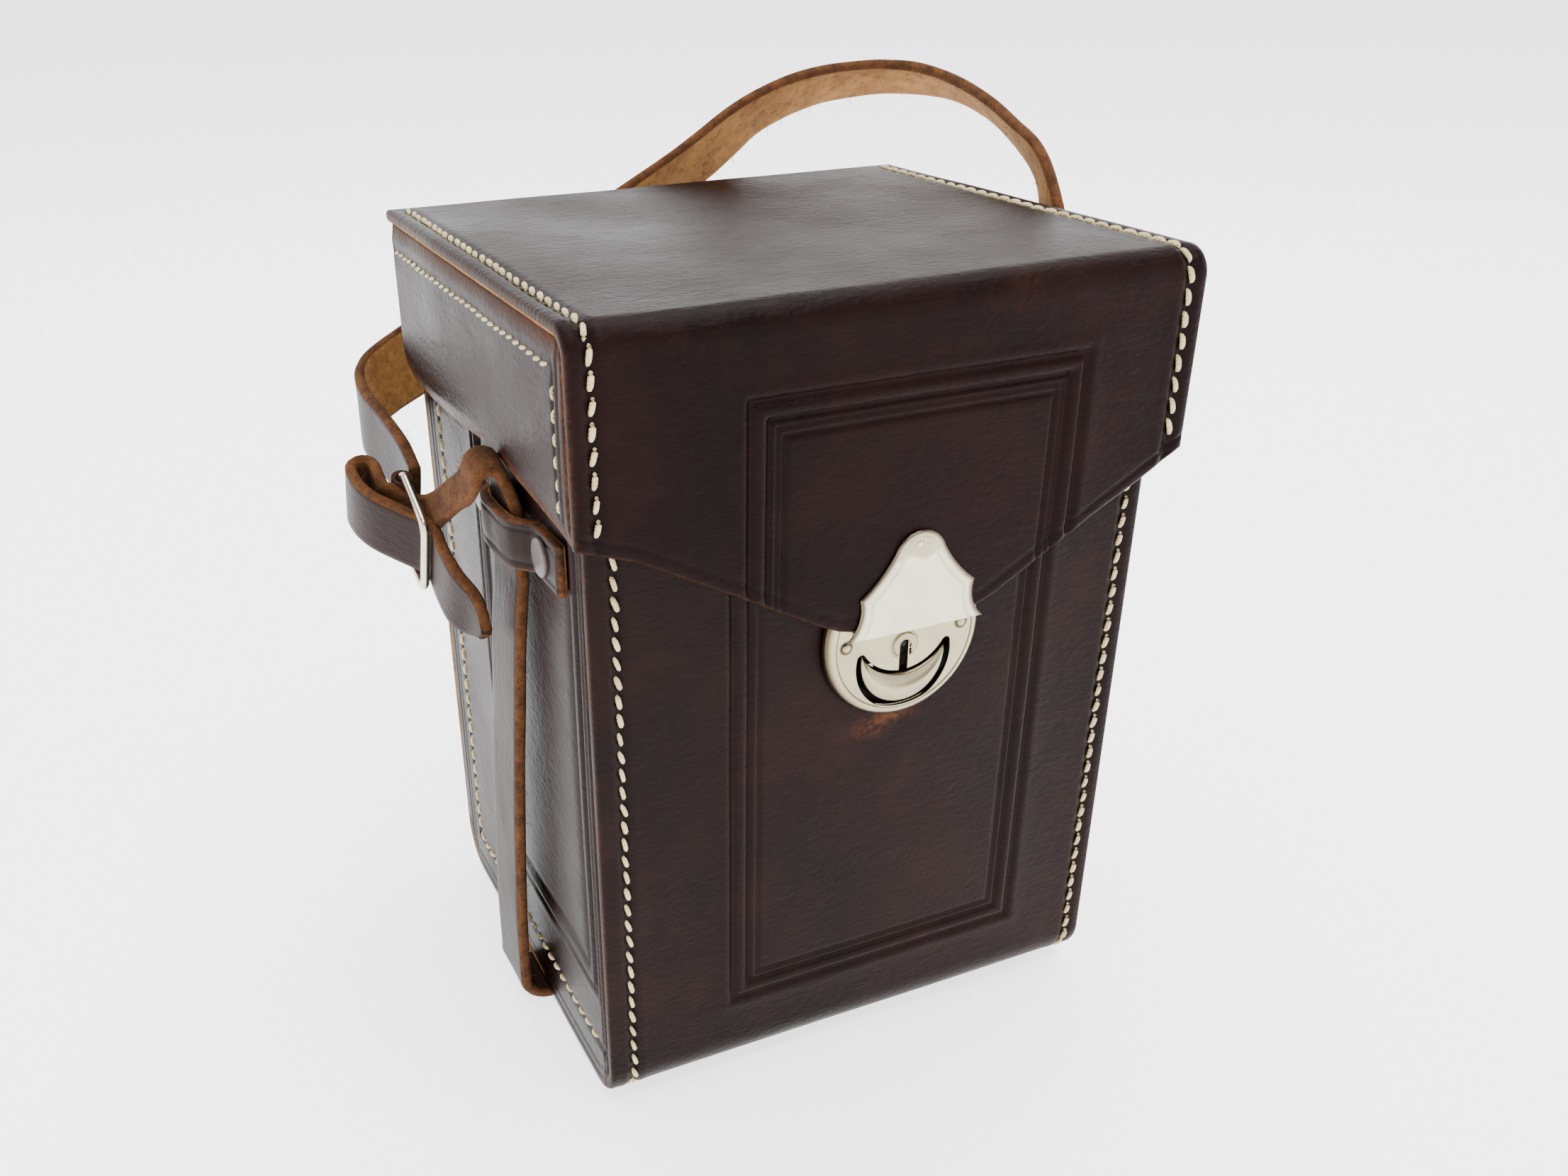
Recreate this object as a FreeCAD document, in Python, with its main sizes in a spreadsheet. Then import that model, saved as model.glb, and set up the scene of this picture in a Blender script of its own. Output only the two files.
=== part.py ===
"""A leather ever ready case for a folding or reflex camera: box body, hinged lid with a front flap,
a nickel thumb lock and a carrying strap that runs under the case, through two side keepers.

Frame: +Z up, the front faces -Y, +X is to the right seen from the front.  Z = 0 is the underside of
the strap that the case stands on, and X = Y = 0 is the middle of the case's footprint.
"""
import FreeCAD, Part
import math
import os

from FreeCAD import Vector

doc = FreeCAD.newDocument("ever_ready_case")
sheet = doc.addObject("Spreadsheet::Sheet", "sizes")

SIZES = [
    # body
    ("case_width", 110.0), ("case_depth", 97.0), ("rim_height", 143.5),
    ("leather", 2.4), ("front_bend", 8.0), ("rear_bend", 10.0),
    ("flange_width", 9.0), ("welt_thick", 2.0), ("welt_width", 9.0),
    ("lining_thick", 1.2), ("lining_gap", 0.2),
    # lid
    ("lid_top", 156.0), ("lid_side_gap", 0.7), ("flap_gap", 2.8), ("lid_bend", 5.0),
    ("hinge_rear", 1.2), ("flap_corner_height", 121.8), ("flap_tongue_height", 98.2),
    ("tongue_half_width", 12.5), ("lid_lining_thick", 0.8), ("lid_strip_drop", 9.0),
    ("hinge_tab_half_width", 50.0), ("hinge_tab_foot", 118.0), ("hinge_clearance", 0.3),
    # lock
    ("lock_across", 3.6), ("lock_height", 93.3), ("lock_radius", 16.0), ("lock_proud", 2.6),
    ("lock_top", 97.5), ("sheet_metal", 0.8), ("lock_wall", 1.1), ("well_radius", 13.0),
    ("well_depth", 3.6), ("keyhole_height", 91.8), ("keyhole_radius", 2.1), ("keyway", 1.6),
    ("thumb_centre", 88.95), ("thumb_radius", 9.75), ("thumb_top_radius", 10.4),
    ("thumb_top_centre", 96.6), ("thumb_gap", 0.25), ("thumb_turn", 10.0),
    # hasp
    ("hasp_foot", 96.3), ("hasp_head", 114.8), ("hasp_lip", 2.3), ("rivet_radius", 0.8),
    # strap
    ("strap_width", 15.0), ("strap_thick", 2.2), ("keeper_height", 9.0), ("keeper_thick", 2.0),
    ("keeper_middle", -15.2), ("keeper_level", 113.0), ("keeper_rivet_radius", 3.5),
    ("strap_stand_off", 1.2), ("running_gap", 0.3),
    ("buckle_wire", 1.8), ("buckle_across", 18.5), ("buckle_along", 17.5),
]
for row, (alias, value) in enumerate(SIZES, start=1):
    sheet.set(f"A{row}", alias)
    sheet.set(f"B{row}", str(value))
    sheet.setAlias(f"B{row}", alias)
doc.recompute()


def size(alias):
    """The value of one named cell of the sheet, in millimetres."""
    return float(sheet.get(alias))


# Sizes that follow from the driving ones.
leather = size("leather")
half_width = size("case_width") / 2
half_depth = size("case_depth") / 2
case_foot = size("strap_thick")
rim = size("rim_height")
side_inner = half_width - leather
front_inner = -half_depth + leather
lid_inner_half = half_width + size("lid_side_gap")
lid_outer_half = lid_inner_half + leather
flap_inner = -half_depth - size("flap_gap")
flap_outer = flap_inner - leather
lid_top = size("lid_top")
lid_under = lid_top - leather
hinge_y = half_depth + size("hinge_rear")
hinge_z = lid_top - leather / 2
lining_offset = leather + size("welt_thick") + size("lining_gap")
lock_x = size("lock_across")
lock_z = size("lock_height")
lock_face = -half_depth - size("lock_proud")
metal = size("sheet_metal")
flange_front = -half_depth - metal

NODES = []


# ---------------------------------------------------------------------------------------------------
# Helpers.

def keep(obj, label):
    """Marks one object as a finished sub-part, whose label names its file."""
    obj.Label = label
    NODES.append(obj)
    return obj


def bind(obj, **expressions):
    """Binds properties of one object to the sheet; an underscore stands for the dot in a placement."""
    for name, text in expressions.items():
        path = {"x": "Placement.Base.x", "y": "Placement.Base.y", "z": "Placement.Base.z"}.get(name, name)
        obj.setExpression(path, text)
    return obj


def box(name, x, y, z, length, width, height):
    """A box whose corner and edges are expressions of the sheet."""
    obj = doc.addObject("Part::Box", name)
    return bind(obj, x=x, y=y, z=z, Length=length, Width=width, Height=height)


def disc(name, x, z, front, radius, thickness):
    """A round plate whose axis runs along Y, from its front face backwards."""
    obj = doc.addObject("Part::Cylinder", name)
    obj.Placement.Rotation = FreeCAD.Rotation(Vector(1, 0, 0), -90)
    return bind(obj, x=x, z=z, y=front, Radius=radius, Height=thickness)


def cut(name, base, *tools):
    obj = doc.addObject("Part::Cut", name)
    obj.Base = base
    obj.Tool = tools[0] if len(tools) == 1 else fuse(name + "_tools", *tools)
    return obj


def fuse(name, *shapes):
    obj = doc.addObject("Part::MultiFuse", name)
    obj.Shapes = list(shapes)
    return obj


def common(name, first, second):
    obj = doc.addObject("Part::Common", name)
    obj.Base = first
    obj.Tool = second
    return obj


def feature(name, shape):
    obj = doc.addObject("Part::Feature", name)
    obj.Shape = shape
    return obj


def origin_plane(body, role):
    return next(f for f in body.Origin.OriginFeatures if f.Role == role)


def side_profile(name, edges, length, side=0.0):
    """A body padded along X from a closed outline in the YZ plane, about the plane X = side."""
    body = doc.addObject("PartDesign::Body", name)
    sketch = body.newObject("Sketcher::SketchObject", name + "_outline")
    sketch.AttachmentSupport = [(origin_plane(body, "YZ_Plane"), "")]
    sketch.MapMode = "FlatFace"
    sketch.AttachmentOffset.Base = Vector(0, 0, side)
    sketch.addGeometry(edges)
    pad = body.newObject("PartDesign::Pad", name + "_pad")
    pad.Profile = sketch
    pad.Midplane = True
    pad.setExpression("Length", length)
    body.Tip = pad
    return body


def line(a, b):
    return Part.LineSegment(Vector(a[0], a[1], 0), Vector(b[0], b[1], 0))


def arc(a, middle, b):
    return Part.Arc(Vector(a[0], a[1], 0), Vector(middle[0], middle[1], 0), Vector(b[0], b[1], 0))


def bend_point(centre, radius, degrees):
    turn = math.radians(degrees)
    return (centre[0] + radius * math.cos(turn), centre[1] + radius * math.sin(turn))


def trough_edges(inset, top):
    """The outline of the body seen from the side, moved inwards: front, bottom and back with round bends."""
    front, back, foot = -half_depth + inset, half_depth - inset, case_foot + inset
    r_front = max(size("front_bend") - inset, 0.5)
    r_rear = max(size("rear_bend") - inset, 0.5)
    c_front = (front + r_front, foot + r_front)
    c_rear = (back - r_rear, foot + r_rear)
    return [
        line((front, top), (front, c_front[1])),
        arc((front, c_front[1]), bend_point(c_front, r_front, 225), (c_front[0], foot)),
        line((c_front[0], foot), (c_rear[0], foot)),
        arc((c_rear[0], foot), bend_point(c_rear, r_rear, 315), (back, c_rear[1])),
        line((back, c_rear[1]), (back, top)),
    ]


def trough_plate(inset, top):
    """A closed outline: the whole side of the body, moved inwards."""
    edges = trough_edges(inset, top)
    return edges + [line((half_depth - inset, top), (-half_depth + inset, top))]


def trough_band(outer, inner, top):
    """A closed outline: the strip between two insets of the body's side outline."""
    outside, inside = trough_edges(outer, top), trough_edges(inner, top)
    ends = [
        line((half_depth - outer, top), (half_depth - inner, top)),
        line((-half_depth + inner, top), (-half_depth + outer, top)),
    ]
    return outside + inside + ends


def prism(edges, direction):
    """A solid swept straight from a closed outline."""
    wire = Part.Wire(Part.__sortEdges__([e.toShape() for e in edges]))
    return Part.Face(wire).extrude(direction)


def in_front_plane(shape, y):
    """Stands a flat outline drawn as (x, z) upright in the plane at y."""
    turned = shape.copy()
    turned.rotate(Vector(0, 0, 0), Vector(1, 0, 0), 90)
    turned.translate(Vector(0, y, 0))
    return turned


def ribbon(stations, thickness, square=True):
    """A flat strap along stations of (centre, width direction, width), skinned with ruled faces.

    The sections are square to the path, or follow the width directions as given where the strap is folded.
    """
    centres = [Vector(*s[0]) for s in stations]
    sections = []
    for i, (_, across, width) in enumerate(stations):
        before, after = centres[max(i - 1, 0)], centres[min(i + 1, len(centres) - 1)]
        along = (after - before).normalize()
        side = Vector(*across)
        if square:
            side = side - along * side.dot(along)
        side = side.normalize()
        face = along.cross(side).normalize()
        w, n = side * (width / 2), face * (thickness / 2)
        corners = [centres[i] + w + n, centres[i] - w + n, centres[i] - w - n, centres[i] + w - n]
        sections.append(Part.makePolygon(corners + corners[:1]))
    strip = Part.makeLoft(sections, True, True)
    return strip if strip.Volume > 0 else strip.reversed()


def mirrored(shape):
    return shape.mirror(Vector(0, 0, 0), Vector(1, 0, 0))


def x_cylinder(radius, y, z, x0, x1):
    return Part.makeCylinder(radius, x1 - x0, Vector(x0, y, z), Vector(1, 0, 0))


def y_cylinder(radius, x, z, y0, y1):
    return Part.makeCylinder(radius, y1 - y0, Vector(x, y0, z), Vector(0, 1, 0))


def block(x0, x1, y0, y1, z0, z1):
    return Part.makeBox(x1 - x0, y1 - y0, z1 - z0, Vector(x0, y0, z0))


# ---------------------------------------------------------------------------------------------------
# Body: a wrap of one strip (front, bottom, back) between two side panels.

rivet_spots = [(1, size("keeper_middle") - 17.3), (2, size("keeper_middle") + 17.0)]
rivet_shank = 1.0
lock_rivet_ring = 14.6
lock_rivet_turns = (50, 130, 215, 325)

wrap = side_profile("wrap_strip", trough_band(0.0, leather, rim), "sizes.case_width")
seats = [
    box(f"wrap_seat_{k}", x, "-sizes.case_depth / 2 + sizes.leather", "0 mm",
        "sizes.leather * 2", "sizes.case_depth", "sizes.rim_height * 2")
    for k, x in enumerate(("sizes.case_width / 2 - sizes.leather", "-sizes.case_width / 2 - sizes.leather"))
]
lock_hole = disc("lock_hole", "sizes.lock_across", "sizes.lock_height", "-sizes.case_depth / 2 - 1",
                 "sizes.well_radius + 0.05", "sizes.leather + 2")
lock_rivet_holes = feature("lock_rivet_holes", Part.makeCompound([
    y_cylinder(size("rivet_radius"), *bend_point((lock_x, lock_z), lock_rivet_ring, turn),
               -half_depth - 1, front_inner + 1) for turn in lock_rivet_turns]))
keep(cut("body_wrap_cut", wrap, *seats, lock_hole, lock_rivet_holes), "body_wrap")

plate_shape = side_profile("side_plate", trough_plate(0.0, rim), "sizes.leather",
                           side=-half_width + leather / 2)
front_trim = box("side_trim", "-sizes.case_width", "-sizes.case_depth / 2 - 10", "-10 mm",
                 "sizes.case_width", "10 + sizes.leather", "sizes.rim_height * 2")
flange = box("side_flange", "-sizes.case_width / 2 + sizes.leather", "-sizes.case_depth / 2 + sizes.leather",
             "sizes.strap_thick + sizes.front_bend", "sizes.flange_width", "sizes.welt_thick",
             "sizes.rim_height - sizes.strap_thick - sizes.front_bend")
shank_holes = feature("shank_holes", Part.makeCompound([
    x_cylinder(rivet_shank, y, size("keeper_level"), -half_width - 5, -side_inner + 5) for _, y in rivet_spots]))
left_side = cut("side_left_cut", fuse("side_left_whole", cut("side_left_plate", plate_shape, front_trim), flange),
                shank_holes)
keep(left_side, "side_panel_left")


def welt_shape():
    """An angle strip inside the corner between side panel and wrap, round the bottom and up the back."""
    thick, width = size("welt_thick"), size("welt_width")
    on_wrap = prism(trough_band(leather, leather + thick, rim), Vector(0, 0, width))
    on_side = prism(trough_band(leather + thick, leather + width, rim), Vector(0, 0, thick))
    both = on_wrap.fuse(on_side)
    both.rotate(Vector(0, 0, 0), Vector(1, 1, 1), 120)
    both.translate(Vector(-side_inner, 0, 0))
    trim = block(-half_width, half_width, -half_depth, front_inner + size("welt_width"), 0, rim + 1)
    return both.cut(trim).removeSplitter()


welt_left = feature("welt_left", welt_shape())
keep(welt_left, "welt_strip_left")


def lining_wrap_shape():
    thick = size("lining_thick")
    shape = prism(trough_band(lining_offset, lining_offset + thick, rim - 1.0),
                  Vector(0, 0, 2 * (half_width - lining_offset - thick)))
    shape.rotate(Vector(0, 0, 0), Vector(1, 1, 1), 120)
    shape.translate(Vector(-(half_width - lining_offset - thick), 0, 0))
    return shape


keep(feature("lining_wrap_strip", lining_wrap_shape()), "lining_wrap")
lining_left = side_profile("lining_left_plate", trough_plate(lining_offset, rim - 1.0), "sizes.lining_thick",
                           side=-half_width + lining_offset + size("lining_thick") / 2)
keep(lining_left, "lining_side_left")

tab = box("hinge_tab_plate", "-sizes.hinge_tab_half_width", "sizes.case_depth / 2", "sizes.hinge_tab_foot",
          "2 * sizes.hinge_tab_half_width", "sizes.leather",
          "sizes.lid_top - sizes.leather - sizes.hinge_clearance - sizes.hinge_tab_foot")
keep(tab, "hinge_tab")

# ---------------------------------------------------------------------------------------------------
# Keepers: leather loops held by two flat rivets each, with the strap passing behind them.

bulge_inner = half_width + size("strap_stand_off") + size("strap_thick") + size("running_gap") + 0.1


def keeper_shape():
    """The left keeper: flat ends on the wall and a raised middle over the strap."""
    thick, level, height = size("keeper_thick"), size("keeper_level"), size("keeper_height")
    front_rivet, rear_rivet = rivet_spots[0][1], rivet_spots[1][1]
    spine = [(front_rivet - 8.0, half_width), (front_rivet + 5.4, half_width), (front_rivet + 8.4, bulge_inner),
             (rear_rivet - 6.2, bulge_inner), (rear_rivet - 5.0, half_width), (rear_rivet + 4.5, half_width)]
    inner = [Vector(-x, y, 0) for y, x in spine]
    outer = [Vector(-x - thick, y, 0) for y, x in spine]
    outer[1].y, outer[4].y = outer[1].y - 1.2, outer[4].y + 1.2
    outer[2].y, outer[3].y = outer[2].y - 1.2, outer[3].y + 1.2
    loop = Part.makePolygon(inner + outer[::-1] + inner[:1])
    band = Part.Face(loop).extrude(Vector(0, 0, height))
    band.translate(Vector(0, 0, level - height / 2))
    for _, y in rivet_spots:
        band = band.cut(x_cylinder(rivet_shank, y, level, -half_width - thick - 1, -half_width + 1))
    return band


def keeper_rivet_shape():
    """Two rivets with flat heads outside and washers inside the wall."""
    rivets = []
    head_seat = -half_width - size("keeper_thick")
    for _, y in rivet_spots:
        head = x_cylinder(size("keeper_rivet_radius"), y, size("keeper_level"), head_seat - 0.7, head_seat)
        shank = x_cylinder(rivet_shank, y, size("keeper_level"), head_seat, -side_inner)
        washer = x_cylinder(3.0, y, size("keeper_level"), -side_inner, -side_inner + 0.7)
        head_edge = [e for e in head.Edges if abs(e.CenterOfMass.x - head_seat + 0.7) < 1e-6]
        rivets.append(head.makeFillet(0.4, head_edge).fuse([shank, washer]).removeSplitter())
    return Part.makeCompound(rivets)


keeper_left = feature("keeper_left_loop", keeper_shape())
keep(keeper_left, "strap_keeper_left")

# ---------------------------------------------------------------------------------------------------
# Strap under the case.  Above each keeper's middle it belongs to the part that swings.

strap_w, strap_t = size("strap_width"), size("strap_thick")
keeper_y, keeper_z = size("keeper_middle"), size("keeper_level")
keeper_x = half_width + size("strap_stand_off") + strap_t / 2
corner_r = 4.0 + strap_t / 2


def strap_leg():
    """Stations of the left leg, from the keeper down to the middle of the underside."""
    leg = [((-keeper_x, keeper_y, keeper_z), (0, 1, 0), strap_w),
           ((-keeper_x, keeper_y + 0.4, keeper_z - 9.5), (0, 1, 0.1), strap_w),
           ((-keeper_x - 1.0, keeper_y + 1.8, keeper_z - 23.5), (0, 1, 0.12), strap_w),
           ((-keeper_x - 2.3, keeper_y + 6.0, 55.0), (0, 1, 0.12), strap_w),
           ((-half_width - corner_r, keeper_y + 9.6, 26.0), (0, 1, 0.12), strap_w)]
    for turn in (180, 205, 225, 245, 270):
        y = keeper_y + 11.0 + 1.2 * (turn - 180) / 90
        x, z = bend_point((-half_width, case_foot + 4.0), corner_r, turn)
        leg.append(((x, y, z), (0, 1, 0), strap_w))
    return leg


left_leg = strap_leg()
corner = left_leg[-1][0]
flat_end = corner[0] + 6.0
left_leg.append(((flat_end, corner[1], corner[2]), (0, 1, 0), strap_w))
left_run = ribbon(left_leg, strap_t)
flat_run = block(flat_end, -flat_end, corner[1] - strap_w / 2, corner[1] + strap_w / 2, 0, strap_t)
lower = left_run.fuse(flat_run).fuse(mirrored(left_run)).removeSplitter()
for side in (-1, 1):
    lower = lower.cut(x_cylinder(strap_w / 2 + size("running_gap"), keeper_y, keeper_z,
                                 side * keeper_x - 4, side * keeper_x + 4))
    lower = lower.cut(block(side * keeper_x - 4, side * keeper_x + 4, -40, 10, keeper_z, keeper_z + 20))
lower = max(lower.Solids, key=lambda s: s.Volume)
keep(feature("strap_under_case", lower), "strap_lower")

# ---------------------------------------------------------------------------------------------------
# Lock on the front panel: a drum with a face plate, a keyhole and a crescent that turns.


def crescent(lower_r, upper_r, upper_centre, turn=0.0):
    """A crescent face in the front plane: a round disc about the thumb's centre less a disc above it."""
    centre = Vector(lock_x, size("thumb_centre"), 0)
    low = Part.Face(Part.Wire(Part.makeCircle(lower_r, centre)))
    high = Part.Face(Part.Wire(Part.makeCircle(upper_r, Vector(lock_x, upper_centre, 0))))
    shape = low.cut(high)
    shape.rotate(centre, Vector(0, 0, 1), turn)
    return shape


housing_flange = disc("housing_flange", "sizes.lock_across", "sizes.lock_height",
                      "-sizes.case_depth / 2 - sizes.sheet_metal", "sizes.lock_radius", "sizes.sheet_metal")
well_r = size("well_radius")
well_back = -half_depth + size("well_depth")


def housing_shape():
    """Flange, raised wall with a straight top, and the well that goes through the leather."""
    wall = size("lock_wall")
    radius = size("lock_radius")
    drum = y_cylinder(radius, lock_x, lock_z, lock_face, flange_front)
    below = block(lock_x - 20, lock_x + 20, lock_face - 1, 0, 60, size("lock_top"))
    drum = drum.common(below)
    rim_edges = [e for e in drum.Edges if abs(e.CenterOfMass.y - lock_face) < 1e-6]
    drum = drum.makeFillet(0.9, rim_edges)
    room = y_cylinder(radius - wall, lock_x, lock_z, lock_face - 1, flange_front)
    room = room.common(block(lock_x - 20, lock_x + 20, lock_face - 1, 0, 60, size("lock_top") - wall))
    well = y_cylinder(well_r, lock_x, lock_z, -half_depth, well_back)
    plate = y_cylinder(radius, lock_x, lock_z, flange_front, -half_depth)
    hollow = y_cylinder(well_r - metal, lock_x, lock_z, flange_front - 1, well_back + 1)
    through = hollow.common(block(lock_x - 20, lock_x + 20, flange_front - 1, 0, 60, size("lock_top") - wall))
    behind = hollow.common(block(lock_x - 20, lock_x + 20, -half_depth, 0, 60, 120))
    slot = block(lock_x - 2.6, lock_x + 2.6, flange_front - 1, 0, 98.6, 105.3)
    shape = drum.cut(room).fuse([plate, well]).cut(through).cut(behind).cut(slot)
    for turn in lock_rivet_turns:
        x, z = bend_point((lock_x, lock_z), lock_rivet_ring, turn)
        if z > size("lock_top"):
            shape = shape.cut(y_cylinder(size("rivet_radius"), x, z, flange_front - 1, -half_depth + 1))
    return shape.removeSplitter()


keep(feature("housing_drum", housing_shape()), "lock_housing")

keyhole_z = size("keyhole_height")
face_rivets = [(lock_x - 12.0, 93.6), (lock_x + 11.6, 93.9)]


def face_plate_shape():
    """The lock's face with its crescent opening, keyhole and keyway."""
    wall = size("lock_wall")
    plate = y_cylinder(size("lock_radius") - wall, lock_x, lock_z, lock_face, lock_face + metal)
    plate = plate.common(block(lock_x - 20, lock_x + 20, lock_face - 1, 0, 60, size("lock_top") - wall))
    opening = crescent(size("thumb_radius"), size("thumb_top_radius"), size("thumb_top_centre"))
    opening = in_front_plane(opening.extrude(Vector(0, 0, 4)), lock_face + 2)
    keyway = block(lock_x - size("keyway") / 2, lock_x + size("keyway") / 2, lock_face - 1, lock_face + 2,
                   size("thumb_top_centre") - size("thumb_top_radius") - 0.4, keyhole_z)
    keyhole = y_cylinder(size("keyhole_radius") - 0.85, lock_x, keyhole_z, lock_face - 1, lock_face + 2)
    plate = plate.cut(opening).cut(keyway).cut(keyhole)
    for x, z in face_rivets:
        plate = plate.cut(y_cylinder(0.7, x, z, lock_face - 1, lock_face + 2))
    return plate


keep(feature("face_disc", face_plate_shape()), "lock_face_plate")


def bush_shape():
    ring = y_cylinder(size("keyhole_radius"), lock_x, keyhole_z, lock_face - 0.5, lock_face)
    ring = ring.makeChamfer(0.3, [e for e in ring.Edges if abs(e.CenterOfMass.y - lock_face + 0.5) < 1e-6])
    half = size("keyway") / 2
    return ring.cut(y_cylinder(size("keyhole_radius") - 0.85, lock_x, keyhole_z, lock_face - 2, lock_face + 1)).cut(
        block(lock_x - half, lock_x + half, lock_face - 2, lock_face + 1, keyhole_z - 4, keyhole_z))


keep(feature("bush_ring", bush_shape()), "keyhole_bush")

back_washer = disc("back_washer", "sizes.lock_across", "sizes.lock_height", "-sizes.case_depth / 2 + sizes.leather",
                   "sizes.lock_radius", "sizes.sheet_metal")
washer_bore = disc("washer_bore", "sizes.lock_across", "sizes.lock_height", "-sizes.case_depth / 2",
                   "sizes.well_radius + 0.05", "sizes.leather * 3")
washer_holes = feature("washer_holes", Part.makeCompound([
    y_cylinder(size("rivet_radius"), *bend_point((lock_x, lock_z), lock_rivet_ring, turn),
               front_inner - 1, front_inner + 3) for turn in lock_rivet_turns]))
keep(cut("back_washer_cut", back_washer, washer_bore, washer_holes), "lock_back_washer")

back_cover = disc("back_cover", "sizes.lock_across", "sizes.lock_height",
                  "-sizes.case_depth / 2 + sizes.well_depth", "sizes.well_radius", "sizes.sheet_metal - 0.2")
keep(back_cover, "lock_back_cover")


def lock_rivet_shape():
    """Four shanks through flange, leather and washer, and two small rivets in the face."""
    rivets = []
    for turn in lock_rivet_turns:
        x, z = bend_point((lock_x, lock_z), lock_rivet_ring, turn)
        front = flange_front - 0.3 if z > size("lock_top") else -half_depth
        shank = y_cylinder(size("rivet_radius"), x, z, front, front_inner + metal)
        tail = y_cylinder(1.4, x, z, front_inner + metal, front_inner + metal + 0.5)
        rivets.append(shank.fuse(tail).removeSplitter())
    for x, z in face_rivets:
        head = y_cylinder(1.1, x, z, lock_face - 0.5, lock_face)
        head = head.makeFillet(0.35, [e for e in head.Edges if abs(e.CenterOfMass.y - lock_face + 0.5) < 1e-6])
        rivets.append(head.fuse(y_cylinder(0.7, x, z, lock_face, lock_face + 1.2)).removeSplitter())
    return Part.makeCompound(rivets)


keep(feature("lock_rivet_set", lock_rivet_shape()), "lock_rivets")


def key_post_shape():
    """The post that guides the key, with its round ward plate behind the keyhole."""
    post = y_cylinder(0.5, lock_x, keyhole_z, lock_face + 0.4, well_back)
    ward = y_cylinder(2.8, lock_x, keyhole_z, lock_face + 2.2, lock_face + 3.0)
    return post.fuse(ward).removeSplitter()


keep(feature("key_post_and_ward", key_post_shape()), "key_post")

leaf = box("leaf_spring", "sizes.lock_across - 10.4", "-sizes.case_depth / 2 + 0.2", "sizes.lock_height - 3",
           "0.4 mm", "1.6 mm", "7 mm")
keep(leaf, "lock_spring")

slide_upper_r, slide_upper_centre = 12.5, 98.4
rest_turn = -size("thumb_turn") / 2


def thumb_shape():
    """The crescent: a raised finger piece in the opening on a wider carrier behind the face."""
    gap = size("thumb_gap")
    finger_face = crescent(size("thumb_radius") - gap, slide_upper_r, slide_upper_centre, rest_turn)
    finger = in_front_plane(finger_face.extrude(Vector(0, 0, 2.0)), lock_face + metal + 0.1)
    front = min(v.Y for v in finger.Vertexes)
    rim_edges = [e for e in finger.Edges if abs(e.CenterOfMass.y - front) < 1e-6]
    finger = finger.makeChamfer(0.5, rim_edges)
    carrier_face = crescent(size("thumb_radius") + 0.5, slide_upper_r - 0.8, slide_upper_centre, rest_turn)
    carrier = in_front_plane(carrier_face.extrude(Vector(0, 0, 0.8)), lock_face + metal + 0.9)
    return finger.fuse(carrier).removeSplitter()


keep(feature("thumb_crescent", thumb_shape()), "thumb_crescent_slide")
carrier_back = lock_face + metal + 0.9


def bolt_shape():
    """The latch bolt: an arm behind the lock's plate with a nose beside the hasp's catch."""
    left = lock_x - 7.6
    arm_front = -half_depth + 0.2
    arm = block(left, left + 2.2, arm_front, arm_front + 0.8, 86.5, 101.4)
    nose = block(left + 2.2, lock_x - 2.4, arm_front, arm_front + 0.8, 99.4, 101.4)
    post = block(left, left + 2.2, carrier_back, arm_front, 86.5, 88.5)
    return arm.fuse([nose, post]).removeSplitter()


keep(feature("bolt_arm", bolt_shape()), "latch_bolt")

# ---------------------------------------------------------------------------------------------------
# Lid: one strip makes the top and the flap, and two side panels with their corner strips close it.

bend = size("lid_bend")
top_centre = (flap_outer + bend, lid_top - bend)
inner_bend = bend - leather
lid_edges = [
    line((hinge_y, lid_top), (top_centre[0], lid_top)),
    arc((top_centre[0], lid_top), bend_point(top_centre, bend, 135), (flap_outer, top_centre[1])),
    line((flap_outer, top_centre[1]), (flap_outer, size("flap_tongue_height"))),
    line((flap_outer, size("flap_tongue_height")), (flap_inner, size("flap_tongue_height"))),
    line((flap_inner, size("flap_tongue_height")), (flap_inner, top_centre[1])),
    arc((flap_inner, top_centre[1]), bend_point(top_centre, inner_bend, 135), (top_centre[0], lid_under)),
    line((top_centre[0], lid_under), (hinge_y, lid_under)),
    arc((hinge_y, lid_under), (hinge_y + leather / 2, hinge_z), (hinge_y, lid_top)),
]
lid_strip = side_profile("lid_strip", lid_edges, "sizes.case_width + 2 * sizes.lid_side_gap + 2 * sizes.leather")


def flap_cutaway(side):
    """The wedge cut off one side of the flap to leave its tongue."""
    foot, corner = size("flap_tongue_height"), size("flap_corner_height")
    inner_x = lock_x + side * size("tongue_half_width")
    outer_x = side * lid_outer_half
    slope = (corner - foot) / (outer_x - inner_x)
    reach = side * 2
    points = [Vector(inner_x - reach, foot - slope * reach, 0), Vector(outer_x + reach, corner + slope * reach, 0),
              Vector(outer_x + reach, foot - 5, 0), Vector(inner_x - reach, foot - 5, 0)]
    face = Part.Face(Part.makePolygon(points + points[:1]))
    return in_front_plane(face.extrude(Vector(0, 0, 8)), flap_inner + 2)


hasp_rivets_at = [(lock_x, 112.6), (lock_x - 6.0, 104.0), (lock_x + 6.0, 104.0)]
hasp_holes = Part.makeCompound([
    y_cylinder(size("rivet_radius"), x, z, flap_outer - 1, flap_inner + 1) for x, z in hasp_rivets_at])
keep(cut("lid_strip_cut", lid_strip, feature("cutaway_left", flap_cutaway(-1)),
         feature("cutaway_right", flap_cutaway(1)), feature("hasp_holes", hasp_holes)), "lid_top_flap")

lid_rear = half_depth + 0.4


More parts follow.
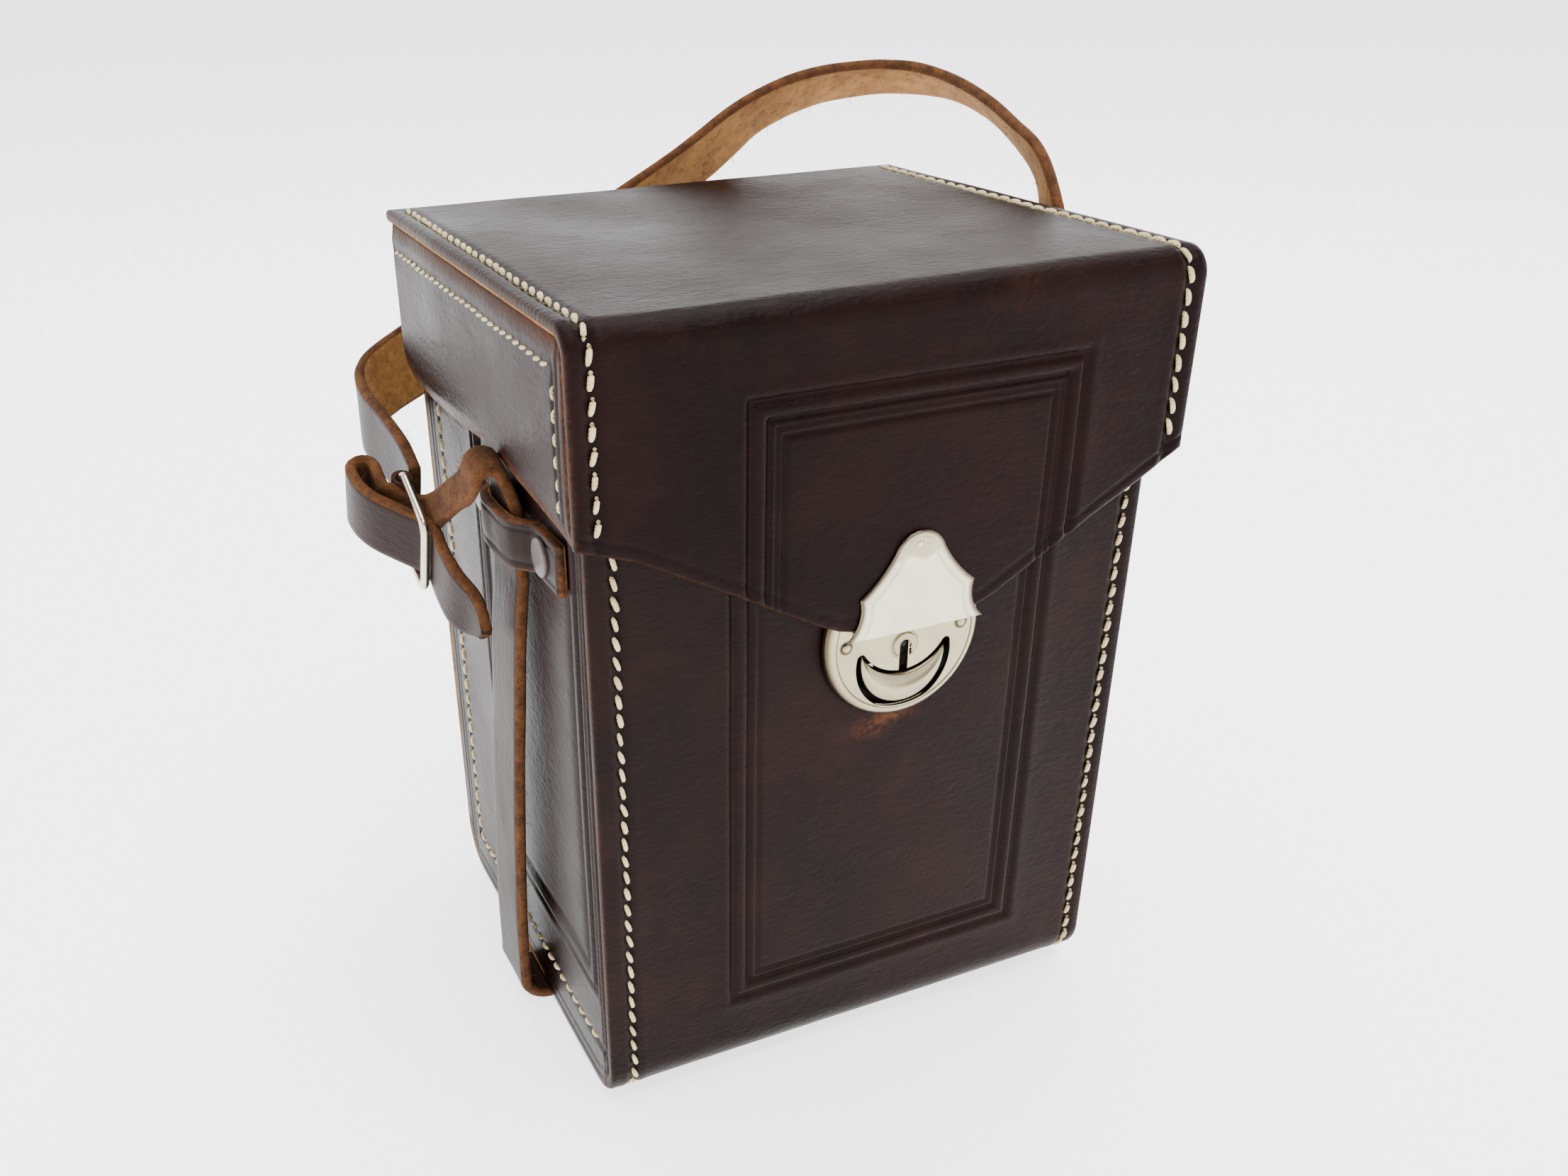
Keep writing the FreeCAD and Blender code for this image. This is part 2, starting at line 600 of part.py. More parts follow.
def lid_side_shape():
    """The left side of the lid: a plate with a waved lower edge and a bent flange behind the flap."""
    rear_low, front_low = 125.4, 121.6
    top_corner = (top_centre[0], lid_under)
    wave = Part.BSplineCurve()
    wave.interpolate([Vector(lid_rear, rear_low, 0), Vector(28, 123.2, 0), Vector(-8, 124.8, 0),
                      Vector(-34, 123.2, 0), Vector(flap_inner, front_low, 0)])
    edges = [
        wave,
        line((flap_inner, front_low), (flap_inner, top_centre[1])),
        arc((flap_inner, top_centre[1]), bend_point(top_centre, inner_bend, 135), top_corner),
        line(top_corner, (lid_rear, lid_under)),
        line((lid_rear, lid_under), (lid_rear, rear_low)),
    ]
    plate = prism(edges, Vector(0, 0, leather))
    plate.rotate(Vector(0, 0, 0), Vector(1, 1, 1), 120)
    plate.translate(Vector(-lid_outer_half, 0, 0))
    fold = block(-lid_inner_half, -lid_inner_half + size("flange_width"), flap_inner, flap_inner + leather,
                 front_low, top_centre[1])
    return plate.fuse(fold).removeSplitter()


lid_left = feature("lid_side_plate", lid_side_shape())
keep(lid_left, "lid_side_left")

strip_front, strip_rear = flap_inner + leather + 0.6, half_depth - 2.5
strip_low = lid_under - size("lid_strip_drop")


def corner_strip_shape():
    """The angle strip that joins the left side of the lid to its top."""
    down = block(-lid_inner_half, -lid_inner_half + leather, strip_front, strip_rear, strip_low, lid_under)
    over = block(-lid_inner_half, -lid_inner_half + size("flange_width"), strip_front, strip_rear,
                 lid_under - leather, lid_under)
    return down.fuse(over).removeSplitter()


strip_left = feature("corner_strip", corner_strip_shape())
keep(strip_left, "lid_corner_strip_left")

lining_half = "(sizes.case_width / 2 + sizes.lid_side_gap - sizes.flange_width - 0.3)"
lid_lining = box("lid_lining_sheet", f"-{lining_half}", "-sizes.case_depth / 2 + 0.8",
                 "sizes.lid_top - sizes.leather - sizes.lid_lining_thick", f"2 * {lining_half}",
                 "sizes.case_depth - 3.3", "sizes.lid_lining_thick")
keep(lid_lining, "lid_lining")

# ---------------------------------------------------------------------------------------------------
# Hasp: a bell-shaped plate on the flap's tongue, with its back plate, rivets and catch.

def hasp_outline():
    """The bell outline drawn as (x, z): a round head, hollow shoulders and two pointed tips."""
    head, foot = size("hasp_head"), size("hasp_foot")
    radius = 5.2

    def right(dx, z):
        return (lock_x + dx, z)

    def left(dx, z):
        return (lock_x - dx, z)

    crown = (lock_x, head - radius)
    start, finish = bend_point(crown, radius, 20), bend_point(crown, radius, 160)
    edges = [arc(start, (lock_x, head), finish), line(left(13.8, foot), right(13.8, foot))]
    for place, shoulder in ((right, start), (left, finish)):
        edges.append(arc(shoulder, place(7.4, 107.7), place(11.45, 103.8)))
        edges.append(arc(place(11.45, 103.8), place(11.5, 99.6), place(13.8, foot)))
    return edges


def hasp_plate_shape():
    """The bell plate on the leather, with a lip along its foot that turns back towards the lock."""
    plate = in_front_plane(prism(hasp_outline(), Vector(0, 0, metal)), flap_outer)
    foot = size("hasp_foot")
    lip = block(lock_x - 11.4, lock_x + 11.4, flap_outer, flap_outer + size("hasp_lip"), foot, foot + metal)
    plate = plate.fuse(lip).removeSplitter()
    x, z = hasp_rivets_at[0]
    return plate.cut(y_cylinder(size("rivet_radius"), x, z, flap_outer - 3, flap_outer + 1))


keep(feature("hasp_bell", hasp_plate_shape()), "hasp_plate")


def hasp_back_shape():
    plate = block(lock_x - 8, lock_x + 8, flap_inner, flap_inner + 0.6, 99.0, 114.2)
    plate = plate.makeFillet(3.0, [e for e in plate.Edges if abs(e.BoundBox.YLength - 0.6) < 1e-6])
    for x, z in hasp_rivets_at:
        plate = plate.cut(y_cylinder(size("rivet_radius"), x, z, flap_inner - 1, flap_inner + 2))
    return plate


keep(feature("hasp_back", hasp_back_shape()), "hasp_back_plate")
keep(feature("catch_tongue", block(lock_x - 2.0, lock_x + 2.0, flap_inner + 0.6, -half_depth + 1.2, 99.2, 101.4)),
     "hasp_catch")


def hasp_rivet_shape():
    """One rivet with a domed head in the bell and two studs behind it."""
    rivets = []
    for k, (x, z) in enumerate(hasp_rivets_at):
        front = flap_outer - metal if k == 0 else flap_outer
        shank = y_cylinder(size("rivet_radius"), x, z, front, flap_inner + 0.6)
        tail = y_cylinder(1.3, x, z, flap_inner + 0.6, flap_inner + 1.0)
        pieces = [tail]
        if k == 0:
            head = y_cylinder(1.25, x, z, front - 0.6, front)
            edge = [e for e in head.Edges if abs(e.CenterOfMass.y - front + 0.6) < 1e-6]
            pieces.append(head.makeFillet(0.45, edge))
        rivets.append(shank.fuse(pieces).removeSplitter())
    return Part.makeCompound(rivets)


keep(feature("hasp_rivet_set", hasp_rivet_shape()), "hasp_rivets")

# ---------------------------------------------------------------------------------------------------
# Right-hand copies of the left-hand pieces.

for source, label in ((left_side, "side_panel_right"), (welt_left, "welt_strip_right"),
                      (lining_left, "lining_side_right"), (keeper_left, "strap_keeper_right"),
                      (lid_left, "lid_side_right"), (strip_left, "lid_corner_strip_right")):
    copy = doc.addObject("Part::Mirroring", label + "_mirror")
    copy.Source = source
    copy.Normal = Vector(1, 0, 0)
    keep(copy, label)
left_rivets = keeper_rivet_shape()
keep(feature("keeper_rivet_set", Part.makeCompound(left_rivets.Solids + mirrored(left_rivets).Solids)),
     "keeper_rivets")

# ---------------------------------------------------------------------------------------------------
# Upper strap: from the right keeper over the back of the case to the buckle beside the left keeper.

W = strap_w
drawn_half_width, drawn_half_depth = 55.0, 48.5


def on_case(x, y, rise):
    """A point of the arch: it stretches with the case's plan and rises with the keepers."""
    return (x * half_width / drawn_half_width, y * half_depth / drawn_half_depth, keeper_z + rise)


UPPER = [
    ((keeper_x, keeper_y, keeper_z), (0, 1, 0), W),
    ((keeper_x, keeper_y, keeper_z + 6.5), (0, 1, 0), W),
    ((keeper_x + 3.4, keeper_y + 0.4, keeper_z + 10.8), (0, 1, 0), W),
    (on_case(62, -9, 22), (0.10, 0.95, -0.30), W),
    (on_case(63.6, -4.2, 31.5), (0.20, 0.86, -0.45), W),
    (on_case(65.6, 1.6, 40), (0.32, 0.62, -0.70), W),
    (on_case(68.2, 8, 45.2), (0.44, 0.34, -0.82), W),
    (on_case(71.2, 18, 49.2), (0.62, 0.16, -0.76), W),
    (on_case(73, 31, 53.8), (0.74, 0.15, -0.66), W),
    (on_case(73, 44, 57.4), (0.80, 0.28, -0.52), W),
    (on_case(70.4, 54, 59.4), (0.74, 0.48, -0.46), W),
    (on_case(63.5, 61.8, 60), (0.47, 0.75, -0.47), W),
    (on_case(53.5, 64.6, 59.5), (0.12, 0.84, -0.54), W),
    (on_case(45.5, 64.8, 58.5), (0.10, 0.79, -0.60), W),
    (on_case(37.9, 64.6, 56.8), (0.16, 0.74, -0.65), W),
    (on_case(31, 64.3, 54.3), (0.26, 0.70, -0.67), W),
    (on_case(24.2, 63.6, 50.7), (0.36, 0.62, -0.70), W),
    (on_case(17, 63.2, 46.2), (0.44, 0.58, -0.70), W),
    (on_case(8, 63, 41), (0.44, 0.55, -0.71), W),
    (on_case(-8, 62.4, 32.5), (0.40, 0.46, -0.79), W),
    (on_case(-26, 61.4, 23.5), (0.38, 0.28, -0.88), W),
    (on_case(-42, 60.4, 15.8), (0.40, 0.10, -0.91), W),
    (on_case(-54, 59.6, 10), (0.40, 0.00, -0.92), W),
    (on_case(-61.5, 58, 6.6), (0.35, 0.10, -0.93), W),
    (on_case(-66.5, 53, 4.4), (0.10, 0.20, -0.97), W),
    (on_case(-68.2, 45, 2.8), (0.0, 0.25, -0.97), W),
    (on_case(-67.4, 34, 1.4), (0.0, 0.30, -0.95), W),
    (on_case(-66.3, 24, -1.2), (0.0, 0.36, -0.93), W),
    (on_case(-66.1, 16.5, -4.2), (0.0, 0.39, -0.92), W),
]


def knuckle(side):
    """The round end of the swinging strap, behind a keeper."""
    return x_cylinder(strap_w / 2, keeper_y, keeper_z, side * keeper_x - strap_t / 2, side * keeper_x + strap_t / 2)


keep(feature("strap_over_back", ribbon(UPPER, strap_t).fuse(knuckle(1)).removeSplitter()), "strap_upper")

buckle_pitch = 22.8
buckle_middle = Vector(-half_width - 14.0, 8.5, keeper_z - 8.2)


def beside_keeper(out, y, rise):
    """A point beside the left wall, measured out from the wall and up from the keeper."""
    return (-half_width - out, y, keeper_z + rise)


def beside_buckle(out, along, width=14.2):
    """A strap station in line with the buckle, at a distance along it from its middle."""
    turn = math.radians(buckle_pitch)
    y, z = buckle_middle.y + along * math.cos(turn), buckle_middle.z + along * math.sin(turn)
    return ((-half_width - out, y, z), (0, -math.sin(turn), math.cos(turn)), width)


def tongue_stations():
    """Up from the left keeper, folded outwards and down, in and out of the buckle, and back to a point."""
    path = [((-keeper_x, keeper_y, keeper_z), (0, 1, 0), W),
            ((-keeper_x, keeper_y, keeper_z + 6.5), (0, 1, 0), W),
            ((-keeper_x - 3.0, keeper_y, keeper_z + 10.4), (0, 0.97, 0.22), W)]
    fold = Vector(-keeper_x - 5.3, keeper_y, keeper_z + 12.4)
    for turn in (0, 45, 90, 135, 180):
        x, z = bend_point((fold.x, fold.z), 2.2, turn)
        path.append(((x, fold.y + turn / 300, z), (0, 0.93, 0.37), W))
    path += [(beside_keeper(9.2, -11.2, 6.0), (0, 0.78, 0.62), 13.0),
             (beside_keeper(9.3, -7.6, 1.4), (0, 0.81, 0.59), 11.0),
             (beside_keeper(9.4, -4.8, -2.8), (0, 0.86, 0.50), 9.5)]
    sweep_centre, sweep_radius = (2.8, keeper_z - 3.6), 6.0
    for step, turn in enumerate((-59.8, -39.0, -18.0, 3.0, 22.8)):
        y, z = bend_point(sweep_centre, sweep_radius, turn - 90)
        across = bend_point((0, 0), 1.0, turn + 90)
        path.append(((-half_width - 9.4 - 0.1 * step, y, z), (0, across[0], across[1]), 9.0))
    path += [beside_buckle(out, along, width) for out, along, width in (
        (11.0, -1.6, 9.5), (13.3, 1.2, 11.0), (16.0, 3.8, 13.0), (17.5, 6.4, 14.2),
        (17.8, 9.5, 14.2), (17.8, 12.5, 14.2))]
    for turn in (45, 90, 135, 180):
        inward, along = bend_point((-20.2, 12.5), 2.4, turn)
        path.append(beside_buckle(-inward, along))
    path += [beside_buckle(out, along) for out, along in (
        (21.6, 8.5), (19.6, 4.5), (16.4, 0.2), (13.3, -3.6), (11.9, -6.6), (11.95, -12.0))]
    path += [(beside_keeper(11.2, -7.4, -15.4), (0, -0.45, 0.89), W),
             (beside_keeper(8.6, -11.8, -18.4), (0, -0.55, 0.83), 13.0),
             (beside_keeper(7.6, -15.4, -21.2), (0, -0.58, 0.81), 3.0)]
    return path


tongue = ribbon(tongue_stations(), strap_t, square=False).fuse(knuckle(-1)).removeSplitter()
keep(feature("strap_end", tongue), "strap_tongue")

# The buckle: a flat wire frame beside the left keeper, pitched with the strap that passes through it.

def pitched(obj):
    """Turns a piece drawn level about the buckle's middle to the buckle's pitch."""
    turn = FreeCAD.Placement(Vector(0, 0, 0), FreeCAD.Rotation(Vector(1, 0, 0), buckle_pitch), buckle_middle)
    shape = obj.copy()
    shape.transformShape(turn.toMatrix())
    return shape


def buckle_shape():
    wire, across, along = size("buckle_wire"), size("buckle_across"), size("buckle_along")
    m = buckle_middle
    outer = block(m.x - wire / 2, m.x + wire / 2, m.y - along / 2, m.y + along / 2,
                  m.z - across / 2, m.z + across / 2)
    outer = outer.makeFillet(2.4, [e for e in outer.Edges if abs(e.BoundBox.XLength - wire) < 1e-6])
    bar = 1.6
    inner = block(m.x - wire, m.x + wire, m.y - along / 2 + bar, m.y + along / 2 - bar,
                  m.z - across / 2 + bar, m.z + across / 2 - bar)
    inner = inner.makeFillet(0.8, [e for e in inner.Edges if abs(e.BoundBox.XLength - 2 * wire) < 1e-6])
    frame = outer.cut(inner)
    return frame.makeFillet(0.35, frame.Edges)


keep(feature("buckle_wire_frame", pitched(buckle_shape())), "buckle_frame")


def end_loop_shape():
    """The thin sewn loop that holds the rear bar of the buckle to the strap's end."""
    m, wire = buckle_middle, size("buckle_wire")
    bar_y = m.y + size("buckle_along") / 2 - 0.8
    half = 6.6
    outer = Part.makeCylinder(wire / 2 + 1.15, 2 * half, Vector(m.x, bar_y, m.z - half), Vector(0, 0, 1))
    inner = Part.makeCylinder(wire / 2 + 0.35, 2 * half, Vector(m.x, bar_y, m.z - half), Vector(0, 0, 1))
    return outer.cut(inner)


keep(feature("sewn_end_loop", pitched(end_loop_shape())), "strap_end_loop")

# ---------------------------------------------------------------------------------------------------
doc.recompute()
for obj in doc.Objects:
    if "Invalid" in obj.State or "Error" in obj.State:
        raise RuntimeError(f"{obj.Name} failed: {obj.State}")
os.makedirs("parts", exist_ok=True)
for obj in NODES:
    shape = obj.Shape
    if shape.isNull() or not shape.isValid():
        raise RuntimeError(f"{obj.Label} has no valid shape")
    shape.exportStep(os.path.join("parts", obj.Label + ".step"))
    print(f"{obj.Label}: {len(shape.Solids)} solid(s), {shape.Volume:.1f} mm3")
print(f"{len(NODES)} nodes")
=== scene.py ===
"""Looks of the leather ever ready case.

Sizes are in millimetres and are scaled to metres when a mesh is made.
"""

import math
import random

import bpy
import numpy as np
from mathutils import Matrix, Vector


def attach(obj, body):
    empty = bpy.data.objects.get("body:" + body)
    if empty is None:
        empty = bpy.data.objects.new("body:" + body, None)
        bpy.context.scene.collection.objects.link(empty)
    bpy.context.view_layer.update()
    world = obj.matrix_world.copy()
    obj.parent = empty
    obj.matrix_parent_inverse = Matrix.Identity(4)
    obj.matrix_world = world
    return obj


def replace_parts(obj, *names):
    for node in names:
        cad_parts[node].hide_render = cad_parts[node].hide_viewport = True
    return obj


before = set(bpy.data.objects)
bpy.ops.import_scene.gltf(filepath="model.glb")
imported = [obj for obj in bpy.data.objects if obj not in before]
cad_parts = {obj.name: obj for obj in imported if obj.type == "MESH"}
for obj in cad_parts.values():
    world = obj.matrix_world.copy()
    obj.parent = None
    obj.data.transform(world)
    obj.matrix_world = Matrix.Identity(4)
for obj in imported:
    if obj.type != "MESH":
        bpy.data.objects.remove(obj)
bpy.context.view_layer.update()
random.seed(11)
MM = 0.001

# ------------------------------------------------------------------------------------------------
# Materials


class Graph:
    """A small helper that wires shader nodes by name."""

    def __init__(self, name):
        self.mat = bpy.data.materials.new(name)
        self.mat.use_nodes = True
        self.nodes = self.mat.node_tree.nodes
        self.links = self.mat.node_tree.links
        self.bsdf = self.nodes["Principled BSDF"]

    def add(self, kind, **inputs):
        node = self.nodes.new(kind)
        for key, value in inputs.items():
            numbered = key[0] == "i" and key[1:].isdigit()
            self.put(node.inputs[int(key[1:]) if numbered else key.replace("_", " ")], value)
        return node

    def put(self, socket, value):
        if isinstance(value, bpy.types.NodeSocket):
            self.links.new(value, socket)
        else:
            socket.default_value = value

    def shade(self, **inputs):
        for key, value in inputs.items():
            self.put(self.bsdf.inputs[key.replace("_", " ")], value)

    def math(self, operation, a, b=0.0, clamp=False):
        node = self.nodes.new("ShaderNodeMath")
        node.operation = operation
        node.use_clamp = clamp
        self.put(node.inputs[0], a)
        self.put(node.inputs[1], b)
        return node.outputs[0]

    def noise(self, vector, scale, detail=3.0, rough=0.55, distortion=0.0):
        node = self.add("ShaderNodeTexNoise", Vector=vector, Scale=scale, Detail=detail, Roughness=rough,
                        Distortion=distortion)
        return node.outputs["Fac"]

    def cells(self, vector, scale):
        node = self.nodes.new("ShaderNodeTexVoronoi")
        self.put(node.inputs["Vector"], vector)
        self.put(node.inputs["Scale"], scale)
        return node.outputs["Distance"]

    def mapped(self, vector, scale):
        node = self.nodes.new("ShaderNodeMapping")
        self.put(node.inputs["Vector"], vector)
        node.inputs["Scale"].default_value = scale
        return node.outputs[0]

    def ramp(self, fac, *stops):
        node = self.nodes.new("ShaderNodeValToRGB")
        self.put(node.inputs[0], fac)
        ramp = node.color_ramp
        while len(ramp.elements) < len(stops):
            ramp.elements.new(0.5)
        for element, (place, colour) in zip(ramp.elements, stops):
            element.position = place
            element.color = (*colour, 1.0) if len(colour) == 3 else colour
        return node.outputs[0]

    def mix(self, fac, a, b):
        node = self.nodes.new("ShaderNodeMix")
        node.data_type = "RGBA"
        self.put(node.inputs[0], fac)
        self.put(node.inputs[6], (*a, 1.0) if isinstance(a, tuple) else a)
        self.put(node.inputs[7], (*b, 1.0) if isinstance(b, tuple) else b)
        return node.outputs[2]

    def remap(self, value, a, b, c, d):
        node = self.add("ShaderNodeMapRange", i0=value, i1=a, i2=b, i3=c, i4=d)
        return node.outputs[0]

    def bump(self, height, strength, distance, normal=None):
        node = self.add("ShaderNodeBump", Strength=strength, Distance=distance, Height=height)
        if normal is not None:
            self.links.new(normal, node.inputs["Normal"])
        return node.outputs[0]

    def attribute(self, name):
        node = self.nodes.new("ShaderNodeAttribute")
        node.attribute_name = name
        return node.outputs["Fac"]

    def place(self):
        return self.nodes.new("ShaderNodeTexCoord").outputs["Object"]

    def uv(self):
        return self.nodes.new("ShaderNodeTexCoord").outputs["UV"]


def leather(name, light, dark, gloss=0.34, grain=1.0, raw=(0.13, 0.045, 0.014), level=0.075):
    """Dyed hide: fine wrinkled grain, rubbed edges that show the raw brown, painted shade in grooves and creases."""
    g = Graph(name)
    where, flat = g.place(), g.uv()
    wear, painted_shade = g.attribute("wear"), g.attribute("painted_shade")
    broad = g.noise(where, 26.0, 4.0, 0.6)
    patch = g.noise(where, 95.0, 4.0, 0.6)
    tone = g.mix(g.remap(broad, 0.32, 0.68, 0.0, 1.0), dark, light)
    tone = g.mix(g.remap(patch, 0.48, 0.85, 0.0, 0.45), tone, tuple(v * 1.9 for v in light))
    fibre = g.noise(where, 900.0, 3.0, 0.7)
    rubbed = g.math("MULTIPLY", wear, g.remap(patch, 0.30, 0.55, 0.35, 1.2), clamp=True)
    rubbed = g.math("MULTIPLY", rubbed, g.remap(fibre, 0.36, 0.56, 0.15, 1.15), clamp=True)
    raw_tone = g.mix(fibre, tuple(v * 0.45 for v in raw), tuple(v * 1.25 for v in raw))
    tone = g.mix(rubbed, tone, raw_tone)
    # painted shade: the attribute darkens stitch grooves and creases almost to black
    tone = g.mix(g.math("MULTIPLY", painted_shade, 0.85, clamp=True), tone, (0.003, 0.0015, 0.0015))
    wrinkle = g.noise(g.mapped(flat, (240.0, 780.0, 1.0)), 1.0, 4.0, 0.62, 0.4)
    pore = g.cells(g.mapped(flat, (700.0, 1000.0, 1.0)), 1.0)
    fine = g.noise(g.mapped(flat, (1400.0, 2200.0, 1.0)), 1.0, 3.0, 0.6)
    vein = g.noise(g.mapped(flat, (30.0, 130.0, 1.0)), 1.0, 5.0, 0.6, 1.2)
    crease = g.remap(g.math("ABSOLUTE", g.math("SUBTRACT", vein, 0.5)), 0.0, 0.012, 0.0, 1.0)
    height = g.math("ADD", g.math("MULTIPLY", wrinkle, 0.70), g.math("MULTIPLY", pore, 0.30))
    height = g.math("ADD", height, g.math("MULTIPLY", fine, 0.18))
    height = g.math("ADD", height, g.math("MULTIPLY", crease, 0.16))
    rough = g.math("ADD", g.remap(broad, 0.3, 0.7, gloss - 0.06, gloss + 0.08),
                   g.math("MULTIPLY", rubbed, 0.35))
    rough = g.math("ADD", rough, g.math("MULTIPLY", fine, 0.08))
    g.shade(Base_Color=tone, Roughness=rough, Specular_IOR_Level=level,
            Normal=g.bump(height, 0.9 * grain, 0.00020))
    return g.mat


def suede(name, light, dark, scale=1.0, sheen=0.25):
    """The napped flesh side or a raw cut edge."""
    g = Graph(name)
    where = g.place()
    broad = g.noise(where, 140.0 * scale, 5.0, 0.65)
    nap = g.noise(g.mapped(where, (1.0, 1.0, 1.0)), 1100.0 * scale, 5.0, 0.75, 0.6)
    speck = g.noise(where, 520.0 * scale, 4.0, 0.7)
    tone = g.mix(g.remap(broad, 0.35, 0.65, 0.0, 1.0), dark, light)
    tone = g.mix(g.remap(speck, 0.52, 0.68, 0.0, 0.75), tone, tuple(v * 0.35 for v in dark))
    tone = g.mix(g.remap(nap, 0.35, 0.75, 0.0, 0.45), tone, tuple(min(v * 1.5, 1.0) for v in light))
    height = g.math("ADD", g.math("MULTIPLY", nap, 0.6), g.math("MULTIPLY", broad, 0.8))
    g.shade(Base_Color=tone, Roughness=0.93, Specular_IOR_Level=0.15, Sheen_Weight=sheen, Sheen_Roughness=0.5,
            Sheen_Tint=(*light, 1.0), Normal=g.bump(height, 1.0, 0.00035))
    return g.mat


def nickel(name, colour=(0.60, 0.555, 0.43), rough=0.14):
    """Worn nickel plate with faint scratches and smudges."""
    g = Graph(name)
    where = g.place()
    smudge = g.noise(where, 170.0, 4.0, 0.6)
    scratch = g.noise(g.mapped(where, (160.0, 160.0, 3200.0)), 1.0, 2.0, 0.5, 0.8)
    painted_shade = g.attribute("painted_shade")
    tone = g.mix(g.remap(smudge, 0.35, 0.75, 0.0, 0.5), colour, tuple(v * 0.62 for v in colour))
    # painted shade and painted dark reflection: the attribute read above darkens rims, facets and recesses of the
    # metal
    tone = g.mix(painted_shade, tone, (0.05, 0.032, 0.018))
    g.shade(Base_Color=tone, Metallic=1.0, Roughness=g.remap(smudge, 0.3, 0.75, rough - 0.04, rough + 0.14),
            Normal=g.bump(g.math("ADD", g.math("MULTIPLY", scratch, 0.3), smudge), 0.10, 0.00008))
    return g.mat


def plain(name, colour, rough=0.6, metal=0.0, bumps=0.0, scale=900.0):
    g = Graph(name)
    g.shade(Base_Color=(*colour, 1.0), Roughness=rough, Metallic=metal)
    if bumps:
        g.shade(Normal=g.bump(g.noise(g.place(), scale, 4.0, 0.7), bumps, 0.0002))
    return g.mat


def thread_material(name):
    """Waxed linen thread with a twist and some grime."""
    g = Graph(name)
    where = g.place()
    grime = g.noise(where, 420.0, 4.0, 0.7)
    ply = g.nodes.new("ShaderNodeTexWave")
    ply.wave_type = "BANDS"
    ply.bands_direction = "DIAGONAL"
    g.put(ply.inputs["Vector"], where)
    ply.inputs["Scale"].default_value = 900.0
    ply.inputs["Distortion"].default_value = 1.5
    tone = g.mix(g.remap(grime, 0.42, 0.75, 0.0, 0.8), (0.60, 0.49, 0.26), (0.30, 0.20, 0.09))
    tone = g.mix(g.math("MULTIPLY", ply.outputs["Fac"], 0.22), tone, (0.40, 0.31, 0.19))
    g.shade(Base_Color=tone, Roughness=0.62, Specular_IOR_Level=0.2,
            Normal=g.bump(ply.outputs["Fac"], 0.6, 0.00018))
    return g.mat


OX_LIGHT, OX_DARK = (0.0105, 0.0032, 0.0026), (0.0040, 0.0016, 0.0013)
case_leather = leather("case_leather", OX_LIGHT, OX_DARK)
# painted shade: a darker copy of the case leather with less specular, so the lid flap reads darker under the lights
shaded_lid_leather = leather("shaded_lid_leather", (0.0078, 0.0021, 0.0019), (0.0032, 0.0011, 0.0010), 0.32, level=0.045)
strap_grain = leather("strap_grain", (0.0165, 0.0072, 0.0060), (0.0075, 0.0038, 0.0033), 0.38, 0.7)
# painted shade: a darker copy of the case leather with less specular, to offset the floor's reflection on the front
shaded_wrap_leather = leather("shaded_wrap_leather", (0.0092, 0.0031, 0.0026), (0.0036, 0.0016, 0.0013), level=0.055)
cut_edge = suede("cut_edge", (0.098, 0.038, 0.012), (0.022, 0.008, 0.0035), 1.9, 0.03)
dark_edge = suede("dark_edge", (0.045, 0.017, 0.009), (0.016, 0.007, 0.005), 1.6, 0.0)
flesh = suede("flesh_side", (0.250, 0.120, 0.036), (0.105, 0.043, 0.012))
tongue_flesh = suede("tongue_flesh", (0.088, 0.036, 0.012), (0.018, 0.007, 0.0035), 1.6, 0.1)
thread = thread_material("linen_thread")
plate = nickel("nickel_plate", (0.60, 0.55, 0.40), 0.15)
lock_plate = nickel("nickel_lock", (0.37, 0.325, 0.205), 0.20)
wire_plate = nickel("nickel_wire", (0.62, 0.56, 0.43), 0.20)
steel = plain("plain_steel", (0.42, 0.41, 0.39), 0.35, 1.0, 0.2)
# painted shade: a near-black finish for holes and recesses where shade falls
hole_shade = plain("painted_hole_shade", (0.002, 0.002, 0.002), 0.9)
japanned = plain("dark_rivet", (0.055, 0.036, 0.034), 0.30, 0.3, 0.15)
keeper_leather = leather("keeper_leather", (0.0150, 0.0085, 0.0070), (0.0075, 0.0045, 0.0040), 0.36, 0.5)
lining = suede("lining_cloth", (0.16, 0.030, 0.030), (0.080, 0.013, 0.015), 2.0, 0.5)

# ------------------------------------------------------------------------------------------------
# Mesh helpers


def mesh_object(name, verts, faces, materials, slots=None, attributes=None, uvs=None, smooth=True):
    """A mesh from millimetre vertices, with float attributes on points and optional UVs per vertex."""
    mesh = bpy.data.meshes.new(name)
    mesh.from_pydata([tuple(v) for v in np.asarray(verts, float) * MM], [], faces)
    for material in materials:
        mesh.materials.append(material)
    if slots is not None:
        mesh.polygons.foreach_set("material_index", np.asarray(slots, np.int32))
    mesh.polygons.foreach_set("use_smooth", [smooth] * len(mesh.polygons))
    for key, values in (attributes or {}).items():
        layer = mesh.attributes.new(key, "FLOAT", "POINT")
        layer.data.foreach_set("value", np.asarray(values, np.float32))
    if uvs is not None:
        layer = mesh.uv_layers.new(name="UVMap")
        corner = np.zeros(len(mesh.loops), np.int32)
        mesh.loops.foreach_get("vertex_index", corner)
        layer.data.foreach_set("uv", (np.asarray(uvs, np.float32)[corner] * MM).ravel())
    mesh.validate()
    mesh.update()
    obj = bpy.data.objects.new(name, mesh)
    bpy.context.scene.collection.objects.link(obj)
    return obj


